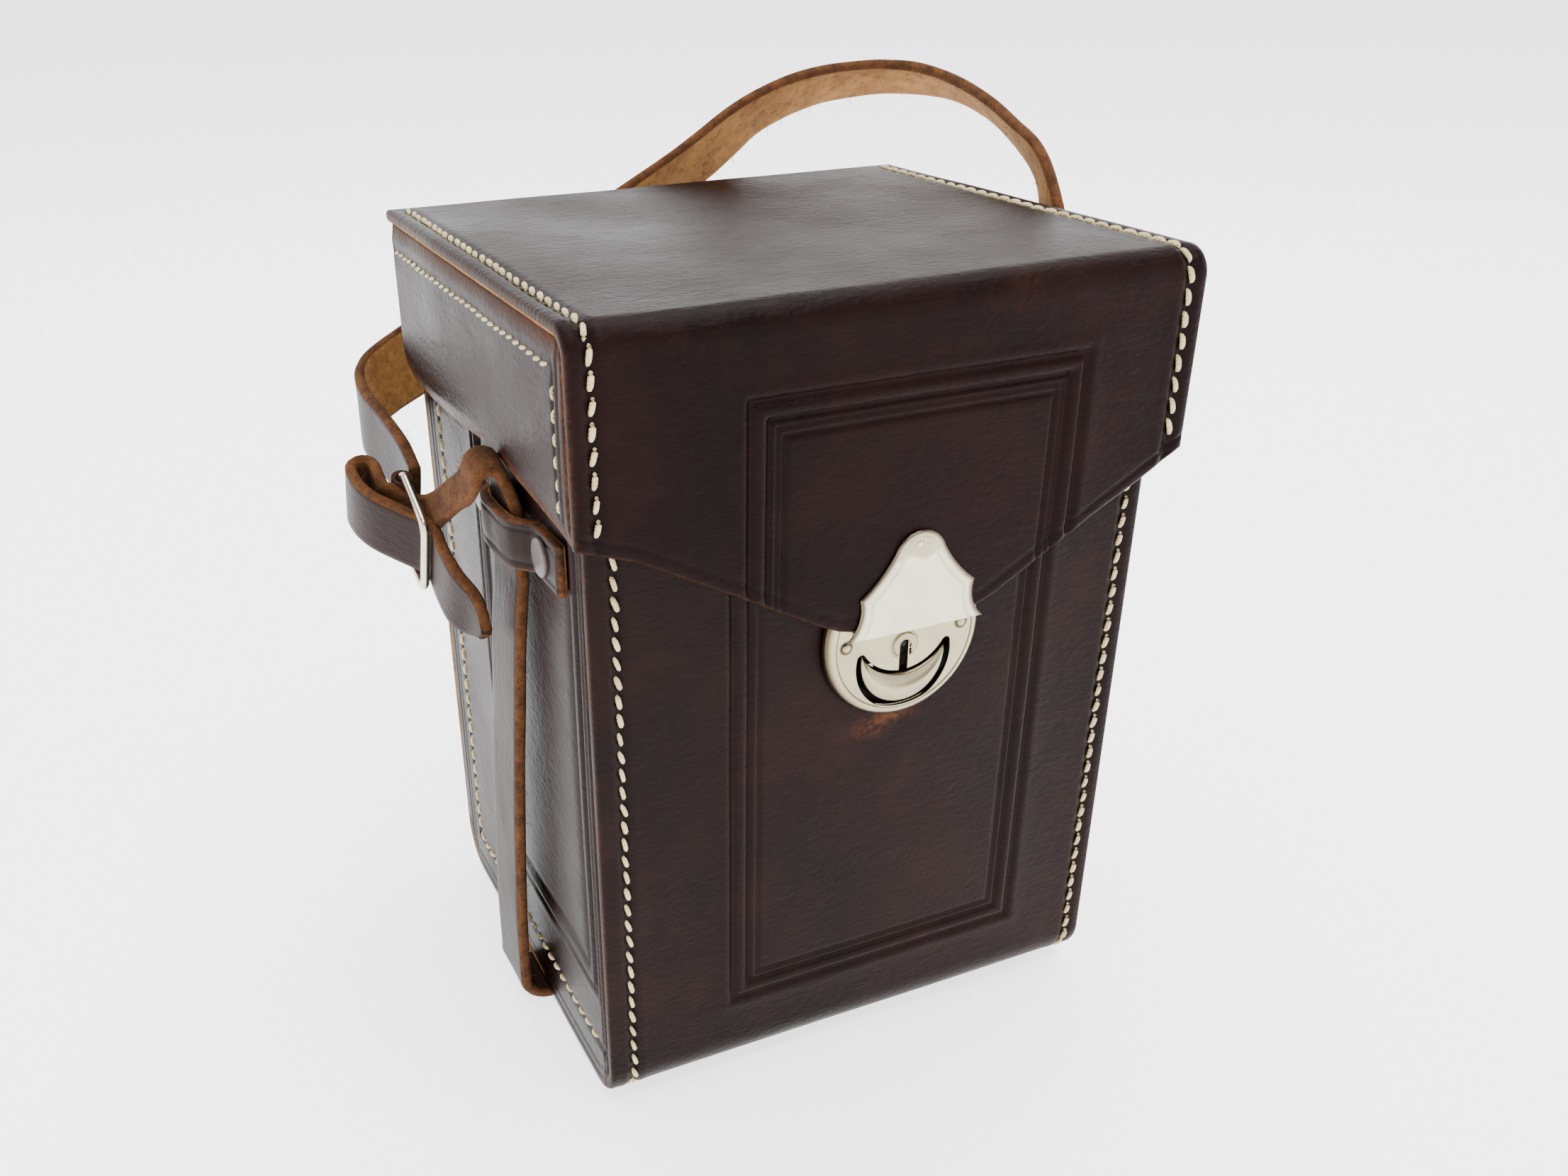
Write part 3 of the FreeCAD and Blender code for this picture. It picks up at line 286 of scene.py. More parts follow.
def samples(a, b, coarse, edge, features=(), fine=0.45):
    """Sample places from a to b: coarse in the open, finer near both ends and around each (centre, reach)."""
    places = {round(v, 4) for v in np.linspace(a, b, max(2, int(abs(b - a) / coarse) + 1))}
    lo, hi = min(a, b), max(a, b)
    for share in (0.0, 0.12, 0.30, 0.55, 0.85, 1.3):
        places |= {round(lo + edge * share, 4), round(hi - edge * share, 4)}
    for centre, reach in features:
        places |= {round(v, 4) for v in np.arange(centre - reach, centre + reach + 1e-6, fine) if lo < v < hi}
    ordered = sorted(places)
    kept = [ordered[0]]
    for v in ordered[1:]:
        if v - kept[-1] > 0.07:
            kept.append(v)
    kept[-1] = ordered[-1]
    return np.array(kept if a < b else kept[::-1])


def groove(d, depth, width):
    return -depth * np.exp(-(d / width) ** 2)


def slab(name, points, normals, near, thick, edge_r, relief, wear, painted_shade, uv, materials, body):
    """A sheet of leather: an outer face with relief, an inner face and a rounded edge all round."""
    nu, nv = near.shape
    inside = np.clip(edge_r - near, 0, edge_r)
    drop = edge_r - np.sqrt(np.maximum(edge_r ** 2 - inside ** 2, 0))
    outer = points + normals * (relief * np.clip(near / 1.0, 0, 1) - drop)[..., None]
    inner = points - normals * (thick - drop)[..., None]
    verts = np.concatenate([outer.reshape(-1, 3), inner.reshape(-1, 3)])
    at = np.arange(nu * nv).reshape(nu, nv)
    a, b, c, d = at[:-1, :-1], at[1:, :-1], at[1:, 1:], at[:-1, 1:]
    quads = np.stack([a, b, c, d], -1).reshape(-1, 4)
    back = quads[:, ::-1] + nu * nv
    loop = np.concatenate([at[:, 0], at[-1, 1:], at[-2::-1, -1], at[0, -2:0:-1]])
    following = np.roll(loop, -1)
    rim = np.stack([following, loop, loop + nu * nv, following + nu * nv], -1)
    faces = np.concatenate([quads, back, rim])
    first = points[0, 0], points[min(1, nu - 1), 0], points[0, 1]
    turn = np.cross(first[1] - first[0], first[2] - first[0]) @ normals[0, 0]
    if turn < 0:
        faces = faces[:, ::-1]
    slots = np.zeros(len(faces), int)
    slots[len(quads):2 * len(quads)] = 1 if len(materials) > 1 else 0
    both = lambda grid: np.concatenate([grid.ravel(), grid.ravel()])
    uvs = np.concatenate([uv.reshape(-1, 2)] * 2)
    attributes = {"wear": both(wear), "painted_shade": both(painted_shade)}
    obj = mesh_object(name, verts, faces.tolist(), materials, slots, attributes, uvs)
    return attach(obj, body)


def smooth_noise(a, b, seed, size, amount):
    """Gentle unevenness of a hand-made sheet, from a few random waves."""
    r = np.random.default_rng(seed)
    total = np.zeros(np.broadcast(a, b).shape)
    for _ in range(9):
        angle, phase = r.uniform(0, math.tau), r.uniform(0, math.tau)
        k = math.tau / (size * r.uniform(0.6, 1.8))
        total += np.sin(k * (a * math.cos(angle) + b * math.sin(angle)) + phase)
    return total / 9 * amount * 2


def frame_relief(d, lines):
    """Relief across an embossed frame.

    d is the distance in from its outer line, and each line is (place, depth, width).
    """
    total = np.zeros_like(d)
    for place, depth, width in lines:
        total += groove(d - place, depth, width)
    bead = lambda p, h, w: h * np.exp(-((d - p) / w) ** 2)
    total += bead(lines[0][0] + 1.5, 0.34, 1.0)
    total += bead(lines[0][0] - 1.6, 0.18, 1.3)
    return total


def cord_tube(path, radius, sides=8):
    """Vertices and faces of a tube along a path (n, 3) with a radius per point, closed at both ends."""
    path = np.asarray(path, float)
    n = len(path)
    radius = np.broadcast_to(radius, n)
    tangent = np.gradient(path, axis=0)
    tangent /= np.linalg.norm(tangent, axis=1)[:, None] + 1e-12
    seed = np.array([0.31, 0.52, 0.79])
    side = np.cross(tangent, seed)
    side /= np.linalg.norm(side, axis=1)[:, None]
    other = np.cross(tangent, side)
    angle = np.arange(sides) * math.tau / sides
    ring = (np.cos(angle)[None, :, None] * side[:, None] + np.sin(angle)[None, :, None] * other[:, None])
    verts = path[:, None] + ring * radius[:, None, None]
    faces = []
    for i in range(n - 1):
        for j in range(sides):
            k = (j + 1) % sides
            faces.append((i * sides + j, i * sides + k, (i + 1) * sides + k, (i + 1) * sides + j))
    faces.append(tuple(range(sides))[::-1])
    faces.append(tuple((n - 1) * sides + j for j in range(sides)))
    return verts.reshape(-1, 3), faces


def merge(name, parts, material, body, **extra):
    verts, faces, base = [], [], 0
    for v, f in parts:
        verts.append(v)
        faces += [tuple(i + base for i in face) for face in f]
        base += len(v)
    obj = mesh_object(name, np.concatenate(verts), faces, [material], **extra)
    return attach(obj, body)


def walk(path, normals, step, start=0.0):
    """Evenly spaced places, directions and normals along a polyline."""
    path, normals = np.asarray(path, float), np.asarray(normals, float)
    length = np.concatenate([[0], np.cumsum(np.linalg.norm(np.diff(path, axis=0), axis=1))])
    marks = np.arange(start, length[-1], step)
    at = lambda values, s: np.stack([np.interp(s, length, values[:, k]) for k in range(3)], -1)
    here, ahead, behind = at(path, marks), at(path, marks + 0.4), at(path, marks - 0.4)
    along = ahead - behind
    along /= np.linalg.norm(along, axis=1)[:, None]
    n = at(normals, marks)
    n -= along * (n * along).sum(1)[:, None]
    n /= np.linalg.norm(n, axis=1)[:, None]
    return here, along, n


def stitches(name, path, normals, body, pitch=3.8, length=3.1, radius=0.62, tilt=10.0, lift=0.10, start=1.6):
    """A row of plump stitches that dive into the leather at both ends."""
    parts = []
    for p, t, n in zip(*walk(path, normals, pitch, start)):
        side = np.cross(n, t)
        turn = math.radians(tilt + random.uniform(-5, 5))
        t = t * math.cos(turn) + side * math.sin(turn)
        s = np.linspace(-1, 1, 9)
        half = length / 2 * random.uniform(0.92, 1.06)
        fat = radius * random.uniform(0.9, 1.12)
        rise = lift + 0.42 * radius * (1 - np.abs(s) ** 2.6) - 0.55 * np.abs(s) ** 5
        line = p + s[:, None] * t * half + rise[:, None] * n + side * random.uniform(-0.12, 0.12)
        parts.append(cord_tube(line, fat * np.sqrt(np.clip(1.02 - np.abs(s) ** 3.2, 0.05, 1)), 8))
    return merge(name, parts, thread, body)


# ------------------------------------------------------------------------------------------------
# Sizes shared with the solid model

HALF_W, HALF_D, FOOT, RIM, T = 55.0, 48.5, 2.2, 143.5, 2.4
LID_X, FLAP_Y, TOP = 58.1, -53.7, 156.0
FRONT_R, REAR_R, LID_R = 8.0, 10.0, 5.0
WRAP_ROWS = (("left", -50.2), ("right", 51.5))
LID_ROWS = (("left", -54.4), ("right", 54.4))


def strip_path(corners, step=1.5):
    """A path in the YZ plane from straight runs and arcs: ("line", a, b) or ("arc", centre, r, from, to)."""
    points = []
    for piece in corners:
        if piece[0] == "line":
            _, a, b = piece
            n = max(2, int(math.dist(a, b) / step) + 1)
            for i in range(n):
                s = i / (n - 1)
                points.append((a[0] + (b[0] - a[0]) * s, a[1] + (b[1] - a[1]) * s))
        else:
            _, c, r, a, b = piece
            n = max(6, int(abs(b - a) / 7))
            for i in range(1, n):
                w = math.radians(a + (b - a) * i / n)
                points.append((c[0] + r * math.cos(w), c[1] + r * math.sin(w)))
    cleaned = [points[0]]
    for p in points[1:]:
        if math.dist(p, cleaned[-1]) > 1e-4:
            cleaned.append(p)
    return np.array(cleaned)


def along_path(path, s):
    """Points and normals of a YZ path at distances s."""
    d = np.concatenate([[0], np.cumsum(np.linalg.norm(np.diff(path, axis=0), axis=1))])
    y, z = np.interp(s, d, path[:, 0]), np.interp(s, d, path[:, 1])
    e = 0.25
    dy = np.interp(s + e, d, path[:, 0]) - np.interp(s - e, d, path[:, 0])
    dz = np.interp(s + e, d, path[:, 1]) - np.interp(s - e, d, path[:, 1])
    size = np.hypot(dy, dz)
    return y, z, dz / size, -dy / size, d[-1]


# ------------------------------------------------------------------------------------------------
# Body wrap: down the front, under and up the back.

body_path = strip_path([
    ("line", (-HALF_D, RIM), (-HALF_D, FOOT + FRONT_R)),
    ("arc", (-HALF_D + FRONT_R, FOOT + FRONT_R), FRONT_R, 180, 270),
    ("line", (-HALF_D + FRONT_R, FOOT), (HALF_D - REAR_R, FOOT)),
    ("arc", (HALF_D - REAR_R, FOOT + REAR_R), REAR_R, 270, 360),
    ("line", (HALF_D, FOOT + REAR_R), (HALF_D, RIM))])
front_len = RIM - FOOT - FRONT_R


def body_wrap():
    total = np.linalg.norm(np.diff(body_path, axis=0), axis=1).sum()
    s = samples(0, total, 3.0, 1.0, [(RIM - 22.5, 5.5), (RIM - 75.5, 4.5), (front_len + 6, 9.0)], 0.5)
    around = [(place, 2.2) for _, place in WRAP_ROWS] + [(-26.5, 5.2), (2.0, 8.0), (32.0, 5.2)]
    x = samples(-HALF_W, HALF_W, 2.4, 1.0, around, 0.4)
    X, S = np.meshgrid(x, s, indexing="ij")
    y, z, ny, nz, _ = along_path(body_path, s)
    Y, Z = np.broadcast_to(y, X.shape), np.broadcast_to(z, X.shape)
    points = np.stack([X, Y, Z], -1)
    # outward is away from the middle of the case
    normals = np.stack([np.zeros_like(X), np.broadcast_to(ny, X.shape), np.broadcast_to(nz, X.shape)], -1)
    if (normals[5, 5] @ np.array([0, -1, 0])) < 0:
        normals = -normals
    near = np.minimum.reduce([X + HALF_W, HALF_W - X, S, total - S])
    on_front = S < front_len + 3
    d = np.minimum.reduce([X + 29.0, 34.8 - X, Z - 20.0])
    relief = np.where(on_front, frame_relief(d, [(0, 0.75, 0.7), (3.2, 0.85, 0.42), (5.1, 0.55, 0.42)]), 0)
    row = np.minimum.reduce([np.abs(X - place) for _, place in WRAP_ROWS])
    relief = relief + groove(row, 0.55, 0.9) + 0.12 * np.exp(-((row - 2.0) / 0.9) ** 2)
    relief = relief + smooth_noise(X, S, 3, 60, 0.14)
    wear = np.clip(1 - near / 0.7, 0, 1) * 0.07
    scuff = np.exp(-(((X - 3.0) / 4.2) ** 2 + ((Z - 76.0) / 1.2) ** 2))
    scuff = scuff + 0.4 * np.exp(-(((X + 0.5) / 3.6) ** 2 + ((Z - 74.2) / 1.5) ** 2))
    wear = np.maximum(wear, np.clip(scuff, 0, 1) * on_front)
    # painted shade along the stitch grooves
    painted_shade = 0.9 * np.exp(-(row / 0.75) ** 2)
    uv = np.stack([X, S], -1)
    obj = slab("wrap_front_and_back", points, normals, near, T, 0.7, relief, wear, painted_shade, uv,
               [shaded_wrap_leather, flesh], "case")
    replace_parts(obj, "body_wrap")
    for label, place in WRAP_ROWS:
        run = np.stack([np.full(len(body_path), place), body_path[:, 0], body_path[:, 1]], -1)
        _, _, a, b, _ = along_path(body_path, np.concatenate([[0], np.cumsum(
            np.linalg.norm(np.diff(body_path, axis=0), axis=1))]))
        n = np.stack([np.zeros(len(a)), a, b], -1)
        if n[1] @ np.array([0, -1, 0]) < 0:
            n = -n
        tilt = 15 if place < 0 else -15
        stitches(f"stitches_wrap_{label}", run, n, "case", 3.6, 2.85, 0.47, tilt, -0.26)


body_wrap()


def side_panel(sign):
    """Body side panel: its lower corners follow the bends of the wrap."""
    label = "left" if sign < 0 else "right"
    y0, y1 = -HALF_D + T + 0.05, HALF_D
    y = samples(y0, y1, 2.6, 1.0, [(37.0, 2.0), (43.5, 2.5), (10.0, 3.8), (-41.2, 3.6), (-44.6, 1.2)], 0.45)
    t = samples(RIM, 42.0, 3.0, 0.8)
    low = np.linspace(0, 1, 60)[1:]

    def foot(v):
        rear = HALF_D - REAR_R
        ahead = -HALF_D + FRONT_R
        z = np.full_like(v, FOOT)
        k = v > rear
        z[k] = FOOT + REAR_R - np.sqrt(np.maximum(REAR_R ** 2 - (v[k] - rear) ** 2, 0))
        k = v < ahead
        z[k] = FOOT + FRONT_R - np.sqrt(np.maximum(FRONT_R ** 2 - (v[k] - ahead) ** 2, 0))
        return z

    base = foot(y)
    upper = np.tile(t, (len(y), 1))
    lower = 42.0 - low[None, :] ** 0.93 * (42.0 - base[:, None])
    Z = np.concatenate([upper, lower], 1)
    Y = np.broadcast_to(y[:, None], Z.shape)
    points = np.stack([np.full_like(Z, sign * HALF_W), Y, Z], -1)
    normals = np.zeros_like(points)
    normals[..., 0] = sign
    slope = np.gradient(base, y)
    down = (Z - base[:, None]) / np.sqrt(1 + np.clip(slope, -4, 4)[:, None] ** 2)
    near = np.minimum.reduce([Y - y0, y1 - Y, RIM - Z, down])
    near = np.maximum(near, 0)
    d = np.minimum.reduce([Y + 43.0, 12.0 - Y, Z - 27.0])
    relief = frame_relief(d, [(0, 0.62, 0.5), (3.8, 0.62, 0.45), (5.0, 0.40, 0.38)])
    row = np.minimum(np.abs(Y - 37.0) + 99.0 * (Z < 16.5), np.abs(Z - 13.5) + 99.0 * (Y > 38.0))
    corner = np.abs(np.hypot(Y - 34.0, Z - 16.5) - 3.0) + 99.0 * ((Y < 34.0) | (Z > 16.5))
    row = np.minimum(row, corner)
    relief = relief + groove(row, 0.5, 0.8)
    crease = np.minimum.reduce([np.abs(Y - 41.6), np.abs(Y - 44.0), np.abs(Y + 44.9), np.abs(down - 2.6),
                                np.abs(down - 5.2)])
    relief = relief + groove(crease, 0.28, 0.35)
    relief = relief + smooth_noise(Y, Z, 5 + int(sign), 55, 0.22)
    wear = np.clip(1 - near / 0.6, 0, 1) * 0.12
    wear = np.maximum(wear, 0.8 * np.exp(-(np.hypot(Y + 47.5, Z - 5.0) / 3.0) ** 2))
    # painted shade in the stitch groove and the creases
    painted_shade = np.maximum(0.85 * np.exp(-(row / 0.7) ** 2), 0.5 * np.exp(-(crease / 0.3) ** 2))
    uv = np.stack([Y, Z], -1)
    obj = slab(f"side_sheet_{label}", points, normals, near, T, 0.6, relief, wear, painted_shade, uv,
               [case_leather, flesh], "case")
    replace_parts(obj, f"side_panel_{label}")
    bend = [math.radians(a) for a in range(0, -91, -15)]
    run = [(37.0, z) for z in np.arange(RIM - 1, 17.0, -2)]
    run += [(34.0 + 3.0 * math.cos(a), 16.5 + 3.0 * math.sin(a)) for a in bend]
    run += [(v, 13.5) for v in np.arange(33.0, -45.0, -2)]
    path = np.array([(sign * HALF_W, a, b) for a, b in run])
    out = np.tile([sign, 0, 0], (len(path), 1))
    stitches(f"stitches_side_{label}", path, out, "case", 3.75, 2.9, 0.46, 8, -0.25)


side_panel(-1)
side_panel(1)

# ------------------------------------------------------------------------------------------------
# Lid

FLAP_EDGE = [(-58.1, 121.8), (-48.4, 118.4), (-36.9, 112.2), (-26.3, 106.3), (-16.0, 100.5), (-10.5, 98.0),
             (-8.0, 97.6), (15.9, 97.6), (19.0, 98.6), (41.4, 111.5), (50.0, 116.1), (54.4, 118.7),
             (58.1, 120.8)]
lid_path = strip_path([
    ("line", (HALF_D + 2.4, TOP), (FLAP_Y + LID_R, TOP)),
    ("arc", (FLAP_Y + LID_R, TOP - LID_R), LID_R, 90, 180),
    ("line", (FLAP_Y, TOP - LID_R), (FLAP_Y, 60.0))])


def lid_strip():
    bend_end = (HALF_D + 2.4 - FLAP_Y - LID_R) + math.pi / 2 * LID_R
    plain_z = 132.0
    plain_end = bend_end + (TOP - LID_R - plain_z)
    s_upper = samples(0, plain_end, 2.6, 1.0, [(bend_end - 4, 8.0), (bend_end + 10.5, 7.0)], 0.5)
    share = 1 - (1 - np.linspace(0, 1, 46)[1:]) ** 1.15
    around = [(place, 2.0) for _, place in LID_ROWS] + [(-26.0, 4.8), (31.8, 4.8)]
    x = samples(-LID_X, LID_X, 2.2, 1.0, around, 0.4)
    edge_z = np.interp(x, *zip(*FLAP_EDGE))
    tapered = plain_end + share[None, :] * (plain_z - edge_z)[:, None]
    S = np.concatenate([np.tile(s_upper, (len(x), 1)), tapered], 1)
    X = np.broadcast_to(x[:, None], S.shape)
    y, z, ny, nz, _ = along_path(lid_path, S.ravel())
    Y, Z, ny, nz = (v.reshape(S.shape) for v in (y, z, ny, nz))
    points = np.stack([X, Y, Z], -1)
    normals = np.stack([np.zeros_like(X), ny, nz], -1)
    if normals[3, 3, 2] < 0:
        normals = -normals
    slope = np.gradient(edge_z, x)
    down = (plain_end + (plain_z - edge_z)[:, None] - S) / np.sqrt(1 + slope[:, None] ** 2)
    near = np.maximum(np.minimum.reduce([X + LID_X, LID_X - X, S, down]), 0)
    on_flap = S > bend_end - 2
    d = np.minimum.reduce([X + 28.5, 34.6 - X, 141.0 - Z])
    lines = [(0, 0.75, 0.7), (3.2, 0.85, 0.42), (4.6, 0.50, 0.36), (6.0, 0.62, 0.42)]
    relief = np.where(on_flap, frame_relief(d, lines), 0)
    row = np.minimum.reduce([np.abs(X - place) for _, place in LID_ROWS])
    row = row + 99.0 * (S < 3)
    relief = relief + groove(row, 0.6, 1.0) + 0.14 * np.exp(-((row - 2.1) / 0.8) ** 2)
    edge_line = np.abs(down - 2.4)
    relief = relief + np.where(on_flap, groove(edge_line, 0.22, 0.4), 0)
    sag = -0.5 * np.exp(-((X / 34.0) ** 2)) * np.clip(np.sin(np.clip(S / (bend_end - 4), 0, 1) * math.pi), 0, 1)
    relief = relief + sag + smooth_noise(X, S, 9, 50, 0.20)
    bend = np.exp(-((S - (bend_end - 4)) / 5.0) ** 2)
    relief = relief + bend * smooth_noise(X * 1.0, S * 0.4, 21, 9, 0.10)
    wear = np.clip(1 - near / 0.7, 0, 1) * 0.14
    wear = np.maximum(wear, bend * np.clip(smooth_noise(X, S, 31, 14, 0.5), 0, 1) * 0.10)
    # painted shade in the edge crease of the flap and in the stitch grooves
    painted_shade = np.where(on_flap, 0.4 * np.exp(-(edge_line / 0.3) ** 2), 0)
    painted_shade = np.maximum(0.85 * np.exp(-(row / 0.75) ** 2), painted_shade)
    uv = np.stack([X, S], -1)
    obj = slab("lid_sheet", points, normals, near, T, 0.8, relief, wear, painted_shade, uv,
               [shaded_lid_leather, flesh], "lid")
    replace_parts(obj, "lid_top_flap")
    stop = bend_end + (TOP - LID_R - 124.0)
    marks = np.arange(2.5, stop, 0.8)
    y, z, ny, nz, _ = along_path(lid_path, marks)
    n = np.stack([np.zeros_like(ny), ny, nz], -1)
    if n[3][2] < 0:
        n = -n
    for label, place in LID_ROWS:
        run = np.stack([np.full_like(y, place), y, z], -1)
        tilt = 12 if place > 0 else -12
        stitches(f"stitches_lid_{label}", run, n, "lid", 3.8, 3.05, 0.50, tilt, -0.24)


lid_strip()
SIDE_EDGE = [(-53.7, 121.0), (-44.4, 122.3), (-33.8, 123.2), (-24.0, 123.8), (-9.5, 125.3), (8.4, 123.8),
             (27.7, 123.0), (42.9, 123.5), (49.0, 125.4)]


def lid_side(sign):
    label = "left" if sign < 0 else "right"
    y0, y1 = FLAP_Y + T + 0.05, HALF_D + 0.4
    y = samples(y0, y1, 2.4, 1.0, [(-49.2, 2.4), (-46.6, 1.2)], 0.4)
    edge = np.interp(y, *zip(*SIDE_EDGE))
    share = samples(0.0, 1.0, 0.05, 0.03, [(0.22, 0.10)], 0.018)
    top = TOP - T - 0.05
    # the front upper corner is cut to pass inside the bend of the lid
    c = FLAP_Y + LID_R
    r = LID_R - T
    roof = np.where(y < c, TOP - LID_R + np.sqrt(np.maximum(r ** 2 - (c - y) ** 2, 0)), top)
    Z = roof[:, None] - share[None, :] * (roof - edge)[:, None]
    Y = np.broadcast_to(y[:, None], Z.shape)
    points = np.stack([np.full_like(Z, sign * LID_X), Y, Z], -1)
    normals = np.zeros_like(points)
    normals[..., 0] = sign
    near = np.maximum(np.minimum.reduce([Y - y0, y1 - Y, roof[:, None] - Z, Z - edge[:, None]]), 0)
    row = np.minimum(np.abs(Z - 148.6) + 99.0 * (Y < -46.6),
                     np.abs(Y + 46.8) + 99.0 * (Z > 148.6))
    crease = np.minimum(np.abs(Y + 48.9), np.abs(Z - edge[:, None] - 2.6))
    relief = groove(row, 0.35, 0.6) + groove(crease, 0.30, 0.35) + smooth_noise(Y, Z, 15 + int(sign), 45, 0.20)
    wear = np.maximum(np.clip(1 - near / 0.7, 0, 1) * 0.55, 0.55 * np.exp(-((Y + 49.4) / 0.35) ** 2))
    # painted shade in the stitch groove and the creases
    painted_shade = np.maximum(0.7 * np.exp(-(row / 0.6) ** 2), 0.5 * np.exp(-(crease / 0.3) ** 2))
    uv = np.stack([Y, Z], -1)
    obj = slab(f"lid_side_sheet_{label}", points, normals, near, T, 0.6, relief, wear, painted_shade, uv,
               [case_leather, flesh], "lid")
    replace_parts(obj, f"lid_side_{label}")
    run = np.array([(sign * LID_X, v, 148.6) for v in np.arange(HALF_D - 1.5, -46.0, -1.5)])
    out = np.tile([sign, 0, 0], (len(run), 1))
    stitches(f"stitches_lid_side_{label}", run, out, "lid", 3.3, 2.45, 0.33, 14, -0.12)
    run = np.array([(sign * LID_X, -46.8, v) for v in np.arange(146.5, 124.0, -1.5)])
    out = np.tile([sign, 0, 0], (len(run), 1))
    stitches(f"stitches_lid_front_{label}", run, out, "lid", 3.6, 2.2, 0.30, 0, -0.12)


lid_side(-1)
lid_side(1)

# ------------------------------------------------------------------------------------------------
# Straps


def spline(values, count):
    """Catmull-Rom through rows of values, resampled evenly by arc length of the first three columns."""
    values = np.asarray(values, float)
    padded = np.vstack([2 * values[0] - values[1], values, 2 * values[-1] - values[-2]])
    out = []
    for i in range(1, len(padded) - 2):
        p0, p1, p2, p3 = padded[i - 1:i + 3]
        for t in np.linspace(0, 1, 24, endpoint=False):
            out.append(0.5 * (2 * p1 + (p2 - p0) * t + (2 * p0 - 5 * p1 + 4 * p2 - p3) * t ** 2
                              + (3 * p1 - p0 - 3 * p2 + p3) * t ** 3))
    out.append(padded[-2])
    out = np.array(out)
    d = np.concatenate([[0], np.cumsum(np.linalg.norm(np.diff(out[:, :3], axis=0), axis=1))])
    s = np.linspace(0, d[-1], count)
    return np.stack([np.interp(s, d, out[:, k]) for k in range(out.shape[1])], -1), d[-1]


def strap(name, stations, body, thick=2.2, grain_side=1, inner=None, square=True, fuzz=0):
    """A leather strap along (centre, width direction, width).

    It has grain on one side, flesh on the other and raw edges, with loose fibres where fuzz says how many.
    """
    rows = [[*c, *w, b] for c, w, b in stations]
    _, length = spline(rows, 50)
    count = int(length)
    rows, length = spline(rows, count)
    centre, across, width = rows[:, :3], rows[:, 3:6], rows[:, 6]
    along = np.gradient(centre, axis=0)
    along /= np.linalg.norm(along, axis=1)[:, None]
    if square:
        across = across - along * (across * along).sum(1)[:, None]
    across = across / np.linalg.norm(across, axis=1)[:, None]
    out = np.cross(along, across) * grain_side
    out /= np.linalg.norm(out, axis=1)[:, None]
    half, r = thick / 2, thick * 0.34
    nw = 9
    over = list(np.linspace(-1, 1, nw))
    ring_w = np.array([-1.0] + over + [1.0, 1.0, 1.0] + over[::-1] + [-1.0, -1.0])
    rounded = [r if k in (0, nw - 1) else 0 for k in range(nw)]
    inset = np.array([0.0] + rounded + [0.0, 0.0, 0.0] + rounded + [0.0, 0.0])
    edge_high = 1 - 0.55
    high = np.array([edge_high] + [1.0] * nw + [edge_high, 0.0, -edge_high] + [-1.0] * nw + [-edge_high, 0.0])
    side_w = ring_w[None, :] * (width[:, None] / 2) - np.sign(ring_w)[None, :] * inset[None, :]
    travel = np.arange(count) * length / count
    noise = smooth_noise(travel[:, None], np.arange(len(ring_w))[None, :] * 3.0, len(name), 16, 0.10)
    rise = (half * high)[None, :] + noise * 0.6
    ring = centre[:, None] + across[:, None] * side_w[..., None] + out[:, None] * rise[..., None]
    m = len(ring_w)
    verts = ring.reshape(-1, 3)
    faces, slots = [], []
    for i in range(count - 1):
        for j in range(m):
            k = (j + 1) % m
            faces.append((i * m + j, i * m + k, (i + 1) * m + k, (i + 1) * m + j))
            if 1 <= j < nw:
                slots.append(0)
            elif nw + 4 <= j < 2 * nw + 3:
                slots.append(1)
            else:
                slots.append(2)
    faces.append(tuple(range(m))[::-1])
    faces.append(tuple((count - 1) * m + j for j in range(m)))
    slots += [2, 2]
    if grain_side > 0:
        faces = [f[::-1] for f in faces]
    s = np.repeat(travel, m)
    uvs = np.stack([s, np.tile(side_w[0], count) + np.tile(high, count) * 3], -1)
    d = np.abs(side_w)
    wear = np.clip((d - (width[:, None] / 2 - 0.9)) / 0.9, 0, 1) * 0.25
    painted_shade = np.zeros_like(wear)
    obj = mesh_object(name, verts, faces, [strap_grain, inner or flesh, cut_edge], slots,
                      {"wear": wear.ravel(), "painted_shade": painted_shade.ravel()}, uvs)
    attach(obj, body)
    if fuzz:
        parts = []
        for _ in range(fuzz):
            i = random.randrange(16, count - 3)
            sd = random.choice((-1, 1)) if random.random() < 0.75 else random.uniform(-0.9, 0.9)
            p = centre[i] + across[i] * sd * width[i] / 2 * 0.98 - out[i] * half * random.uniform(0.4, 1.0)
            go = across[i] * sd * random.uniform(0.2, 1.0) - out[i] * random.uniform(0.2, 0.9)
            go = go + along[i] * random.uniform(-0.9, 0.9)
            go /= np.linalg.norm(go)
            bow = np.array([random.uniform(-0.6, 0.6) for _ in range(3)])
            ln = random.uniform(0.6, 2.4)
            q = np.linspace(0, 1, 5)[:, None]
            parts.append(cord_tube(p + go * ln * q + bow * ln * 0.5 * q ** 2, np.linspace(0.055, 0.02, 5), 4))
        merge(name + "_fibres", parts, cut_edge, body)
    return obj


W = 15.0
KX, KY, KZ = 57.3, -15.2, 113.0


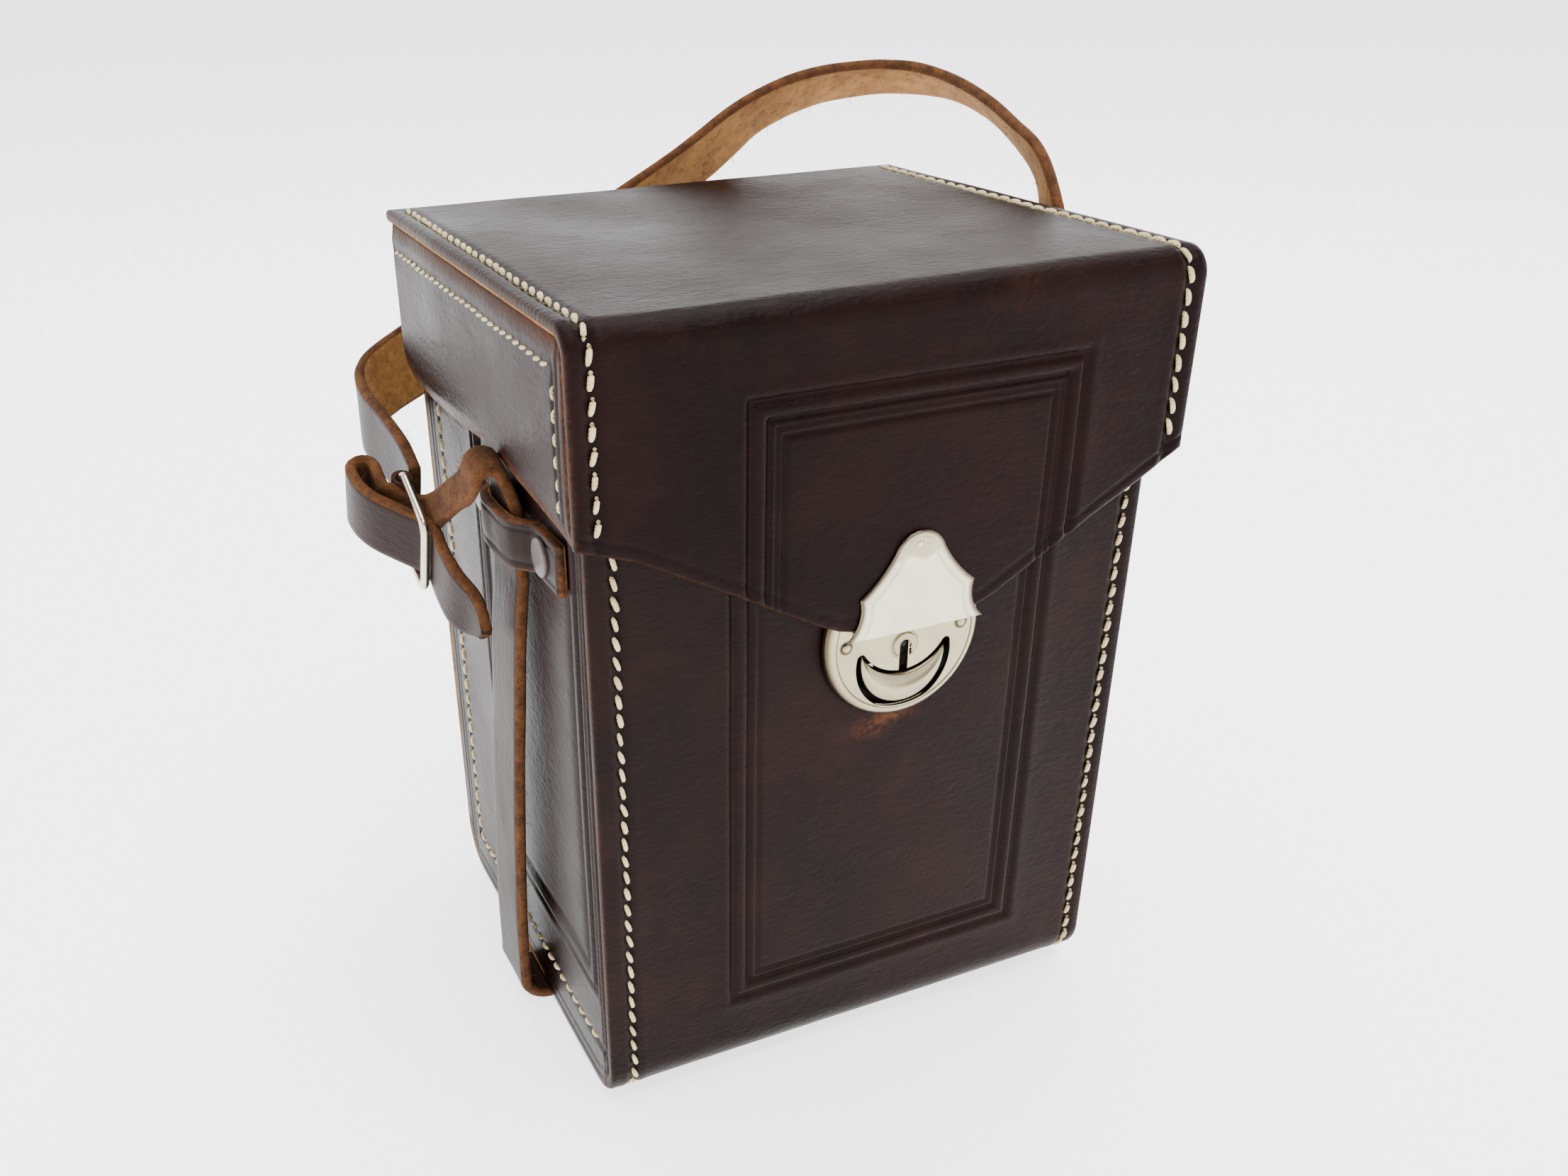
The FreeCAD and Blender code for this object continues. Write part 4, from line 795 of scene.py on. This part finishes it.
def leg(sign):
    run = [((KX, KY, KZ - 7.5), (0, 1, 0), W), ((KX, KY + 0.4, KZ - 9.5), (0, 1, 0.1), W),
           ((KX + 1.0, KY + 1.8, KZ - 23.5), (0, 1, 0.12), W), ((KX + 2.3, KY + 6.0, 55.0), (0, 1, 0.12), W),
           ((HALF_W + 5.1, KY + 9.6, 26.0), (0, 1, 0.12), W)]
    for turn in (0, -20, -40, -60, -75, -90):
        a = math.radians(turn)
        place = (HALF_W - 1.3 + 6.4 * math.cos(a), KY + 11.0 - 1.2 * turn / 90, 7.5 + 6.4 * math.sin(a))
        run.append((place, (0, 1, 0), W))
    run += [((HALF_W - inward, KY + 12.2, 1.1), (0, 1, 0), W) for inward in (4.0, 8.0, 20.0)]
    return [((sign * c[0], c[1], c[2]), w, b) for c, w, b in run]


lower_run = [((-KX, KY, KZ - 4.0), (0, 1, 0), W)] + leg(-1) + leg(1)[::-1]
lower_run += [((KX, KY, KZ - 4.0), (0, 1, 0), W)]
lower = strap("strap_under", lower_run, "case", grain_side=-1, inner=dark_edge, fuzz=160)
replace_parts(lower, "strap_lower")

UPPER = [
    ((KX, KY, KZ - 1.0), (0, 1, 0), W), ((KX, KY, KZ + 6.5), (0, 1, 0), W),
    ((KX + 3.4, KY + 0.4, KZ + 10.8), (0, 1, 0), W),
    ((62.0, -9.0, 135.0), (0.10, 0.95, -0.30), W), ((63.6, -4.2, 144.5), (0.20, 0.86, -0.45), W),
    ((65.6, 1.6, 153.0), (0.32, 0.62, -0.70), W), ((68.2, 8.0, 158.2), (0.44, 0.34, -0.82), W),
    ((71.2, 18.0, 162.2), (0.62, 0.16, -0.76), W), ((73.0, 31.0, 166.8), (0.74, 0.15, -0.66), W),
    ((73.0, 44.0, 170.4), (0.80, 0.28, -0.52), W), ((70.4, 54.0, 172.4), (0.74, 0.48, -0.46), W),
    ((63.5, 61.8, 173.0), (0.47, 0.75, -0.47), W), ((53.5, 64.6, 172.5), (0.12, 0.84, -0.54), W),
    ((45.5, 64.8, 171.5), (0.10, 0.79, -0.60), W), ((37.9, 64.6, 169.8), (0.16, 0.74, -0.65), W),
    ((31.0, 64.3, 167.3), (0.26, 0.70, -0.67), W), ((24.2, 63.6, 163.7), (0.36, 0.62, -0.70), W),
    ((17.0, 63.2, 159.2), (0.44, 0.58, -0.70), W), ((8.0, 63.0, 154.0), (0.44, 0.55, -0.71), W),
    ((-8.0, 62.4, 145.5), (0.40, 0.46, -0.79), W), ((-26.0, 61.4, 136.5), (0.38, 0.28, -0.88), W),
    ((-42.0, 60.4, 128.8), (0.40, 0.10, -0.91), W), ((-54.0, 59.6, 123.0), (0.40, 0.00, -0.92), W),
    ((-61.5, 58.0, 119.6), (0.35, 0.10, -0.93), W), ((-66.5, 53.0, 117.4), (0.10, 0.20, -0.97), W),
    ((-68.2, 45.0, 115.8), (0.0, 0.25, -0.97), W), ((-67.4, 34.0, 114.4), (0.0, 0.30, -0.95), W),
    ((-66.3, 24.0, 111.8), (0.0, 0.36, -0.93), W), ((-66.1, 16.5, 108.8), (0.0, 0.39, -0.92), W)]
upper = strap("strap_arch", UPPER, "strap", grain_side=-1, fuzz=260)
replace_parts(upper, "strap_upper")

PITCH = math.radians(22.8)


def beside(x, p, width=14.2):
    run, rise = math.cos(PITCH), math.sin(PITCH)
    return ((x, 8.5 + p * run, 104.8 + p * rise), (0, -rise, run), width)


def tongue_run():
    """Up behind the keeper, folded over, back into the buckle, round a loop and out to the point."""
    run = [((-KX, KY, KZ - 1.5), (0, 1, 0), W), ((-KX, KY, KZ + 3.5), (0, 1, 0), 14.5),
           ((-KX - 0.4, KY - 0.3, KZ + 7.2), (0, 0.99, 0.1), 10.5)]
    for turn in (10, 55, 100, 145, 180):
        a = math.radians(turn)
        run.append(((-KX - 3.2 + 2.3 * math.cos(a), KY - 0.6 + turn / 150, KZ + 9.6 + 2.3 * math.sin(a)),
                    (0, 0.93, 0.37), 7.4))
    run += [((-63.4, -11.6, 119.4), (0, 0.62, 0.78), 6.4), ((-64.2, -7.0, 116.6), (0, 0.52, 0.85), 6.0),
            ((-65.2, -1.6, 113.0), (0, 0.45, 0.89), 6.2), ((-66.4, 3.6, 109.8), (0, 0.42, 0.90), 7.0),
            ((-68.5, 9.0, 107.8), (0, 0.40, 0.92), 8.6),
            beside(-72.4, 6.8, 13.6), beside(-73.0, 9.8), beside(-73.0, 12.5)]
    for turn in (45, 90, 135, 180):
        a = math.radians(turn)
        run.append(beside(-75.2 + 2.4 * math.cos(a), 12.5 + 2.4 * math.sin(a)))
    run += [beside(x, p) for x, p in ((-77.2, 8.5), (-75.4, 4.5), (-71.8, 0.2), (-68.4, -3.6), (-66.9, -6.6),
                                      (-66.95, -12.0))]
    run += [((-66.2, -7.8, 97.4), (0, -0.45, 0.89), W), ((-63.8, -11.6, 94.6), (0, -0.55, 0.83), 12.5),
            ((-62.8, -14.8, 92.0), (0, -0.58, 0.81), 3.0)]
    return run


tongue = strap("strap_tongue_band", tongue_run(), "strap", inner=tongue_flesh, square=False, fuzz=60)
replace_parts(tongue, "strap_tongue")

# ------------------------------------------------------------------------------------------------
# Lock, hasp and keepers

LOCK_X, LOCK_Z, LOCK_R = 3.6, 93.3, 16.0
THUMB_Z, THUMB_R, UPPER_R, UPPER_Z = 88.95, 9.75, 10.4, 96.6


def arc_points(centre, radius, start, finish, count):
    """Points (x, z) on an arc, angles in degrees."""
    turns = [math.radians(start + (finish - start) * k / count) for k in range(count + 1)]
    return [(centre[0] + radius * math.cos(t), centre[1] + radius * math.sin(t)) for t in turns]


def through(a, middle, b, count):
    """Points on the circle through three points, from a to b, without b."""
    ax, az, mx, mz, bx, bz = *a, *middle, *b
    d = 2 * (ax * (mz - bz) + mx * (bz - az) + bx * (az - mz))
    sq = lambda x, z: x * x + z * z
    cx = (sq(ax, az) * (mz - bz) + sq(mx, mz) * (bz - az) + sq(bx, bz) * (az - mz)) / d
    cz = (sq(ax, az) * (bx - mx) + sq(mx, mz) * (ax - bx) + sq(bx, bz) * (mx - ax)) / d
    turn = lambda p: math.atan2(p[1] - cz, p[0] - cx)
    t0, t1, t2 = turn(a), turn(middle), turn(b)
    while abs(t1 - t0) > math.pi:
        t1 += math.tau if t1 < t0 else -math.tau
    while (t2 - t1) * (t1 - t0) < 0 or abs(t2 - t1) > math.pi:
        t2 += math.tau if t1 > t0 else -math.tau
    r = math.hypot(ax - cx, az - cz)
    return [(cx + r * math.cos(t0 + (t2 - t0) * k / count), cz + r * math.sin(t0 + (t2 - t0) * k / count))
            for k in range(count)]


def plate_piece(name, outlines, front, back, bevel, material, body):
    """A sheet-metal plate with bevelled edges: the first outline is outside, the others are openings."""
    data = bpy.data.curves.new(name, "CURVE")
    data.dimensions = "2D"
    data.fill_mode = "BOTH"
    half = (back - front) / 2 * MM
    data.bevel_depth = bevel * MM
    data.offset = -bevel * MM
    data.extrude = max(half - bevel * MM, 0)
    data.bevel_resolution = 3
    for outline in outlines:
        spline = data.splines.new("POLY")
        spline.points.add(len(outline) - 1)
        for point, (x, z) in zip(spline.points, outline):
            point.co = (x * MM, z * MM, 0, 1)
        spline.use_cyclic_u = True
    maker = bpy.data.objects.new(name + "_maker", data)
    bpy.context.scene.collection.objects.link(maker)
    bpy.context.view_layer.update()
    mesh = bpy.data.meshes.new_from_object(maker.evaluated_get(bpy.context.evaluated_depsgraph_get()))
    bpy.data.objects.remove(maker)
    bpy.data.curves.remove(data)
    mesh.name = name
    # the plate is drawn flat and then stood up, facing the front
    mesh.transform(Matrix.Translation((0, (front + back) / 2 * MM, 0)) @ Matrix.Rotation(math.pi / 2, 4, "X"))
    mesh.materials.clear()
    mesh.materials.append(material)
    obj = bpy.data.objects.new(name, mesh)
    bpy.context.scene.collection.objects.link(obj)
    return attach(obj, body)


def lathe(name, profile, centre, material, body, count=96):
    """A turned piece about an axis that runs to the front; the profile is (radius, y, and how much painted shade it
    gets).
    """
    verts, faces, shade = [], [], []
    for r, y, *dark in profile:
        shade += [dark[0] if dark else 0.0] * count
        for k in range(count):
            t = math.tau * k / count
            verts.append((centre[0] + r * math.cos(t), y, centre[1] + r * math.sin(t)))
    for i in range(len(profile) - 1):
        for k in range(count):
            n = (k + 1) % count
            faces.append((i * count + k, i * count + n, (i + 1) * count + n, (i + 1) * count + k))
    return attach(mesh_object(name, verts, faces, [material], attributes={"painted_shade": shade}), body)


def crescent_ends(low_r, high_r, high_z):
    """Angles on the lower and the upper circle where the two cross, on the right."""
    gap = high_z - THUMB_Z
    rise = (gap ** 2 + low_r ** 2 - high_r ** 2) / (2 * gap)
    across = math.sqrt(low_r ** 2 - rise ** 2)
    return math.degrees(math.atan2(rise, across)), math.degrees(math.atan2(rise - gap, across))


def crescent_opening():
    """A crescent with round ends, joined on its upper side to the key slot."""
    upper_r, upper_z, cap = 9.6, 96.3, 0.85
    cap_low, cap_high = crescent_ends(THUMB_R - cap, upper_r + cap, upper_z)
    reach = (THUMB_R - cap) * math.cos(math.radians(cap_low))
    cap_z = THUMB_Z + (THUMB_R - cap) * math.sin(math.radians(cap_low))
    slot, slot_top = 0.85, 92.0
    slot_end = math.degrees(math.asin(slot / upper_r))
    points = arc_points((LOCK_X, THUMB_Z), THUMB_R, cap_low, -180 - cap_low, 60)
    points += arc_points((LOCK_X - reach, cap_z), cap, 180 - cap_low, -cap_high, 12)[1:]
    points += arc_points((LOCK_X, upper_z), upper_r, -180 - cap_high, -90 - slot_end, 24)[1:]
    points += arc_points((LOCK_X, slot_top), slot, 180, 0, 10)
    points += arc_points((LOCK_X, upper_z), upper_r, -90 + slot_end, cap_high, 24)
    points += arc_points((LOCK_X + reach, cap_z), cap, 180 + cap_high, cap_low, 12)[1:-1]
    return points


def lock_drum():
    r = LOCK_R
    # painted shade: the rim dome darkens towards its base, with a dark line along the edge of the face
    rim = [(r - 0.1, -48.4, 0.97), (r, -48.75, 0.9)]
    for t in np.linspace(0.1, math.pi / 2, 14):
        dark = 0.93 * min(1.0, max(0.0, (1.2 - t) / 0.45))
        rim.append((r - 2.0 * (1 - math.cos(t)), -48.9 - 2.15 * math.sin(t), dark))
    rim += [(14.05, -51.05, 0.1), (13.98, -50.98, 0.75), (13.85, -50.95, 0.85), (13.75, -50.98, 0.3)]
    drum = lathe("lock_rim", rim, (LOCK_X, LOCK_Z), lock_plate, "case")
    face = arc_points((LOCK_X, LOCK_Z), 13.85, 0, 360 * 119 / 120, 119)
    sheet = plate_piece("lock_face", [face, crescent_opening()], -51.0, -50.2, 0.16, lock_plate, "case")
    # painted shade: a black cup behind the face so the openings look dark
    lathe("lock_well_shade", [(0.01, -47.4), (11.9, -47.4), (12.1, -50.3)], (LOCK_X, LOCK_Z), hole_shade, "case", 48)
    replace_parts(drum, "lock_housing")
    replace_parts(sheet, "lock_face_plate")
    # painted shade: the third values darken the inside and the edges of the keyhole ring
    ring = [(1.0, -50.9, 0.9), (1.02, -51.3, 0.6), (1.35, -51.22, 0.1), (1.75, -51.3, 0.25), (2.1, -51.5),
            (2.4, -51.2, 0.5), (2.5, -50.98, 0.97), (2.75, -51.02, 0.6), (2.9, -51.02)]
    bush = lathe("keyhole_ring", ring, (LOCK_X, 91.8), lock_plate, "case", 80)
    gap = [v.index for v in bush.data.vertices if v.co.z < 0.0918 and abs(v.co.x - LOCK_X * MM) < 0.00108]
    mask = set(gap)
    shade = [0.0] * len(bush.data.vertices)
    bush.data.attributes["painted_shade"].data.foreach_get("value", shade)
    keep_faces = [tuple(f.vertices) for f in bush.data.polygons if not any(i in mask for i in f.vertices)]
    points = [tuple(v.co) for v in bush.data.vertices]
    used = sorted({i for f in keep_faces for i in f})
    index = {old: new for new, old in enumerate(used)}
    bush.data.clear_geometry()
    bush.data.from_pydata([points[i] for i in used], [], [tuple(index[i] for i in f) for f in keep_faces])
    bush.data.attributes.new("painted_shade", "FLOAT", "POINT").data.foreach_set("value", [shade[i] for i in used])
    bush.data.polygons.foreach_set("use_smooth", [True] * len(bush.data.polygons))
    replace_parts(bush, "keyhole_bush")
    for side, x, z in (("left", -8.4, 93.6), ("right", 15.2, 93.9)):
        # painted shade: dark sides on each rivet dome and a dark ring round it
        dome = [(0.95, -50.95, 0.97), (0.93, -51.12, 0.85), (0.78, -51.34, 0.45),
                (0.45, -51.5, 0.1), (0.01, -51.54)]
        stud = lathe(f"lock_rivet_{side}", dome, (x, z), lock_plate, "case", 32)
        moat = [(0.95, -51.03, 0.97), (1.2, -51.03, 0.9), (1.5, -51.02, 0.0)]
        lathe(f"lock_rivet_ring_{side}", moat, (x, z), lock_plate, "case", 32)
    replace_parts(stud, "lock_rivets")


def thumb_piece():
    """The crescent finger piece: two long facets that meet along a curved ridge."""
    low_r, high_r, high_z = 8.7, 10.6, 96.5
    gap = high_z - THUMB_Z
    low_end, high_end = crescent_ends(low_r, high_r, high_z)
    n, m = 70, 18
    verts, faces, shade = [], [], []
    for i in range(n + 1):
        f = i / n
        lower = arc_points((LOCK_X, THUMB_Z), low_r, -180 - low_end + f * (180 + 2 * low_end), 0, 1)[0]
        upper = arc_points((LOCK_X, high_z), high_r, -180 - high_end + f * (180 + 2 * high_end), 0, 1)[0]
        size = math.sin(math.pi * f) ** 0.45
        for j in range(m + 1):
            g = j / m
            x, z = lower[0] + (upper[0] - lower[0]) * g, lower[1] + (upper[1] - lower[1]) * g
            ridge = 0.56
            if g < ridge:
                rise = 0.75 + 0.85 * math.sin(g / ridge * math.pi / 2) ** 0.8
            else:
                q = (g - ridge) / (1 - ridge)
                rise = 1.6 - 1.15 * (1 - (1 - q) ** 1.8)
            if j in (0, m):
                rise = -0.6
            verts.append((x, -50.25 - rise * size, z))
            # painted shade: dark edges and a darkening across the upper facet
            facet_shade = 0.62 * max(g - ridge, 0) / (1 - ridge) if g > ridge else 0.22 * (1 - g / ridge)
            shade.append({0: 0.95, 1: 0.6, m: 0.95}.get(j, facet_shade))
    for i in range(n):
        for j in range(m):
            a = i * (m + 1) + j
            faces.append((a, a + m + 1, a + m + 2, a + 1))
    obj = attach(mesh_object("thumb_finger", verts, faces, [lock_plate], attributes={"painted_shade": shade}), "thumb")
    turn = Matrix.Translation((LOCK_X * MM, 0, THUMB_Z * MM)) @ Matrix.Rotation(math.radians(4.0), 4, "Y")
    obj.data.transform(turn @ Matrix.Translation((-LOCK_X * MM, 0, -THUMB_Z * MM)))
    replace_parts(obj, "thumb_crescent_slide")


def hasp():
    """The bell plate with a rolled edge, standing on the leather."""
    head, foot, radius = 114.8, 96.3, 5.2
    crown = (LOCK_X, head - radius)
    place = lambda s, dx, z: (LOCK_X + s * dx, z)
    at = lambda deg: (crown[0] + radius * math.cos(math.radians(deg)),
                      crown[1] + radius * math.sin(math.radians(deg)))
    right = through(at(20), place(1, 7.4, 107.7), place(1, 11.45, 103.8), 12)
    right += through(place(1, 11.45, 103.8), place(1, 11.5, 99.6), place(1, 13.8, foot), 12)
    left = [(2 * LOCK_X - x, z) for x, z in right]
    outline = arc_points(crown, radius, 160, 20, 24)[:-1] + right
    outline += [place(1, 13.8, foot), place(-1, 13.8, foot)]
    outline += left[::-1]
    # rows run up the bell; each one spans the outline at its height
    tall = np.array([(z, x - LOCK_X) for x, z in right[::-1]]
                    + [(crown[1] + 1.8, radius * math.cos(math.radians(20)))])
    tall = tall[np.argsort(tall[:, 0])]
    levels = np.concatenate([np.linspace(foot, 111.0, 60),
                             crown[1] + radius * np.sin(np.linspace(0.30, 1.555, 26))])
    half = np.interp(levels, tall[:, 0], tall[:, 1])
    half[0] = 13.8
    dome = levels > crown[1] + radius * math.sin(math.radians(20))
    half[dome] = np.sqrt(np.maximum(radius ** 2 - (levels[dome] - crown[1]) ** 2, 0.0001))
    share = np.sin(np.linspace(-1, 1, 61) * math.pi / 2)
    Z = np.repeat(levels[:, None], len(share), 1)
    X = LOCK_X + half[:, None] * share[None, :]
    rim = np.array(outline)
    segments = [(a, b) for a, b in zip(rim, np.roll(rim, -1, axis=0))
                if not (a[1] < foot + 0.01 and b[1] < foot + 0.01)]
    near = np.full(X.shape, 99.0)
    for a, b in segments:
        way = b - a
        t = np.clip(((X - a[0]) * way[0] + (Z - a[1]) * way[1]) / (way @ way + 1e-12), 0, 1)
        near = np.minimum(near, np.hypot(X - a[0] - t * way[0], Z - a[1] - t * way[1]))
    near[:, 0] = near[:, -1] = near[-1] = 0
    points = np.stack([X, np.full(X.shape, -54.5), Z], -1)
    normals = np.zeros_like(points)
    normals[..., 1] = -1
    rolled = np.clip(near / 1.7, 0, 1)
    relief = -0.34 * (1 - rolled * rolled * (3 - 2 * rolled)) - 0.10 * np.exp(-((near - 1.9) / 0.3) ** 2)
    # painted shade along the rolled edge and at the inner step of the roll
    painted_shade = 0.93 * np.exp(-((near - 0.25) / 0.55) ** 2) + 0.3 * np.exp(-((near - 2.0) / 0.3) ** 2)
    # painted dark reflection near the crown
    painted_shade = np.maximum(painted_shade, 0.42 * np.clip((Z - 109.6 - 0.5 * np.sin(X * 1.1)) / 0.8, 0, 1))
    bell = slab("hasp_bell", points, normals, near, 0.8, 0.42, relief, near * 0, painted_shade,
                np.stack([X, Z], -1), [plate], "lid")
    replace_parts(bell, "hasp_plate")
    edge = [(LOCK_X - 11.4, 96.35), (LOCK_X + 11.4, 96.35), (LOCK_X + 11.4, 97.1), (LOCK_X - 11.4, 97.1)]
    plate_piece("hasp_lip", [edge], -53.8, -51.4, 0.1, plate, "lid")
    # painted shade: a dark ring in the dimple round the stud
    dimple = [(1.15, -54.46, 0.0), (0.8, -54.44, 0.6), (0.72, -54.36, 0.9), (0.66, -54.46, 0.6),
              (0.4, -54.62), (0.01, -54.66)]
    stud = lathe("hasp_stud", dimple, (3.2, 112.5), plate, "lid", 32)
    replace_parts(stud, "hasp_rivets")


lock_drum()
thumb_piece()
hasp()


def keeper(sign):
    """A bent loop of leather with soft corners, creased along its edges and held by two flat rivets."""
    label = "left" if sign < 0 else "right"
    out = lambda v: HALF_W + v
    spine, _ = spline([(y, x, 0) for y, x in (
        (-40.2, out(1.0)), (-36.0, out(1.0)), (-31.0, out(1.0)), (-28.2, out(1.3)), (-26.2, out(3.0)), (-23.6, out(4.4)),
        (-18.0, out(4.85)), (-12.0, out(4.75)), (-8.8, out(4.0)), (-6.4, out(2.2)), (-4.0, out(1.2)), (1.0, out(1.0)),
        (6.0, out(1.0)))], 90)
    y, x = spine[:, 0], spine[:, 1]
    run = np.concatenate([[0], np.cumsum(np.hypot(np.diff(x), np.diff(y)))])
    tx, ty = np.gradient(x), np.gradient(y)
    size = np.hypot(tx, ty)
    nx, ny = ty / size, -tx / size
    h = samples(108.5, 117.5, 1.0, 0.7, [(110.0, 0.7), (116.0, 0.7)], 0.3)
    H, S = np.meshgrid(h, run)
    shape = H.shape
    wide = lambda v: np.broadcast_to(v[:, None], shape)
    points = np.stack([sign * (wide(x) + wide(nx) * 1.0), wide(y) + wide(ny) * 1.0, H], -1)
    normals = np.stack([sign * wide(nx), wide(ny), np.zeros(shape)], -1)
    near = np.maximum(np.minimum.reduce([H - 108.5, 117.5 - H, S, run[-1] - S]), 0)
    line = np.minimum(np.abs(H - 110.0), np.abs(H - 116.0))
    relief = groove(line, 0.22, 0.3) + smooth_noise(S, H, 41, 12, 0.10)
    wear = np.clip(1 - near / 0.6, 0, 1) * 0.7
    # painted shade in the creases along the keeper's edges
    obj = slab(f"keeper_loop_{label}", points, normals, near, 2.0, 0.5, relief, wear, 0.5 * np.exp(-(line / 0.3) ** 2),
               np.stack([S, H], -1), [keeper_leather, flesh], "case")
    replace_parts(obj, f"strap_keeper_{label}")


keeper(-1)
keeper(1)

def buckle():
    """A closed frame of bent wire."""
    wire, corner = 0.9, 2.6
    half_along, half_across = 8.75 - wire, 9.25 - wire
    path = []
    for cx, cz, start in ((1, 1, 0), (-1, 1, 90), (-1, -1, 180), (1, -1, 270)):
        middle = (cx * (half_along - corner), cz * (half_across - corner))
        path += arc_points(middle, corner, start, start + 90, 8)
    path.append(path[0])
    c, n = math.cos(PITCH), math.sin(PITCH)
    route = [(-69.0, 8.5 + a * c - b * n, 104.8 + a * n + b * c) for a, b in path]
    full = []
    for p, q in zip(route, route[1:]):
        steps = max(1, int(math.dist(p, q) / 1.0))
        full += [tuple(p[k] + (q[k] - p[k]) * i / steps for k in range(3)) for i in range(steps)]
    sides, count = 14, len(full)
    verts, faces = [], []
    for i, p in enumerate(full):
        p = np.array(p)
        t = np.array(full[(i + 1) % count]) - np.array(full[i - 1])
        t /= np.linalg.norm(t)
        out = np.array([1.0, 0, 0])
        side = np.cross(t, out)
        for k in range(sides):
            w = math.tau * k / sides
            verts.append(p + wire * (math.cos(w) * out * 0.95 + math.sin(w) * side))
    for i in range(count):
        for k in range(sides):
            n1, k1 = (i + 1) % count, (k + 1) % sides
            faces.append((i * sides + k, n1 * sides + k, n1 * sides + k1, i * sides + k1))
    obj = mesh_object("buckle_wire", verts, faces, [wire_plate])
    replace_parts(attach(obj, "strap"), "buckle_frame")


buckle()

# ------------------------------------------------------------------------------------------------
# Finishes of the solid nodes that stay

KEEP = {
    "keeper_rivets": japanned,
    "welt_strip_left": dark_edge, "welt_strip_right": dark_edge, "lining_wrap": lining, "lining_side_left": lining,
    "lining_side_right": lining, "hinge_tab": case_leather, "lid_corner_strip_left": dark_edge,
    "lid_corner_strip_right": dark_edge, "lid_lining": lining,
    "lock_back_washer": steel, "lock_back_cover": steel,
    # the key post takes the painted hole shade
    "key_post": hole_shade, "lock_spring": steel, "hasp_back_plate": steel, "hasp_catch": steel,
    "latch_bolt": steel, "strap_end_loop": dark_edge,
}
for node, finish in KEEP.items():
    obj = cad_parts[node]
    for entry in obj.material_slots:
        entry.material = finish

# ------------------------------------------------------------------------------------------------
# Stage, light and camera


def floor():
    mesh = bpy.data.meshes.new("floor")
    size = 9.0
    corners = [(-size, -size, 0), (size, -size, 0), (size, size, 0), (-size, size, 0)]
    mesh.from_pydata(corners, [], [(0, 1, 2, 3)])
    g = Graph("floor_white")
    g.shade(Base_Color=(0.92, 0.92, 0.92, 1.0), Roughness=0.7,
            Emission_Color=(1.0, 1.0, 1.0, 1.0), Emission_Strength=1.9)
    mesh.materials.append(g.mat)
    obj = bpy.data.objects.new("floor", mesh)
    bpy.context.scene.collection.objects.link(obj)


def area(name, place, aim, size, power):
    data = bpy.data.lights.new(name, "AREA")
    data.shape = "RECTANGLE"
    data.size, data.size_y = size
    data.energy = power
    obj = bpy.data.objects.new(name, data)
    obj.location = Vector(place)
    obj.rotation_euler = (Vector(aim) - Vector(place)).to_track_quat("-Z", "Y").to_euler()
    bpy.context.scene.collection.objects.link(obj)


def studio():
    """A white surround at eye level and a dark ceiling, so that bright metal has something to show."""
    world = bpy.data.worlds.new("studio")
    world.use_nodes = True
    tree = world.node_tree
    where = tree.nodes.new("ShaderNodeTexCoord")
    split = tree.nodes.new("ShaderNodeSeparateXYZ")
    ramp = tree.nodes.new("ShaderNodeValToRGB")
    tree.links.new(where.outputs["Generated"], split.inputs[0])
    tree.links.new(split.outputs["Z"], ramp.inputs[0])
    tree.links.new(ramp.outputs[0], tree.nodes["Background"].inputs["Color"])
    stops = ramp.color_ramp.elements
    stops[0].position, stops[0].color = 0.40, (1.0, 1.0, 1.0, 1.0)
    stops[1].position, stops[1].color = 0.66, (0.09, 0.09, 0.095, 1.0)
    tree.nodes["Background"].inputs["Strength"].default_value = 3.4
    bpy.context.scene.world = world


floor()
area("soft_over", (0.1, 0.2, 1.25), (0, 0, 0.05), (1.3, 1.1), 30.0)
area("strip_front", (0.05, -0.55, 1.1), (0, 0, 0.12), (0.9, 0.18), 9.0)
studio()

camera_data = bpy.data.cameras.new("photo_camera")
camera_data.sensor_width = 36.0
camera_data.lens = 36.0 * 2005.48 / 2212
camera_data.shift_x = 142.5 / 2212
camera_data.shift_y = 152.9 / 2212
camera = bpy.data.objects.new("photo_camera", camera_data)
right, ahead = Vector((0.9139, -0.4056, -0.0166)).normalized(), Vector((0.3480, 0.8038, -0.4825)).normalized()
up = right.cross(ahead).normalized()
right = ahead.cross(up).normalized()
camera.matrix_world = Matrix(((right.x, up.x, -ahead.x, -0.12274), (right.y, up.y, -ahead.y, -0.24285),
                              (right.z, up.z, -ahead.z, 0.20667), (0, 0, 0, 1)))
camera_data.clip_start = 0.01
bpy.context.scene.collection.objects.link(camera)
bpy.context.scene.camera = camera
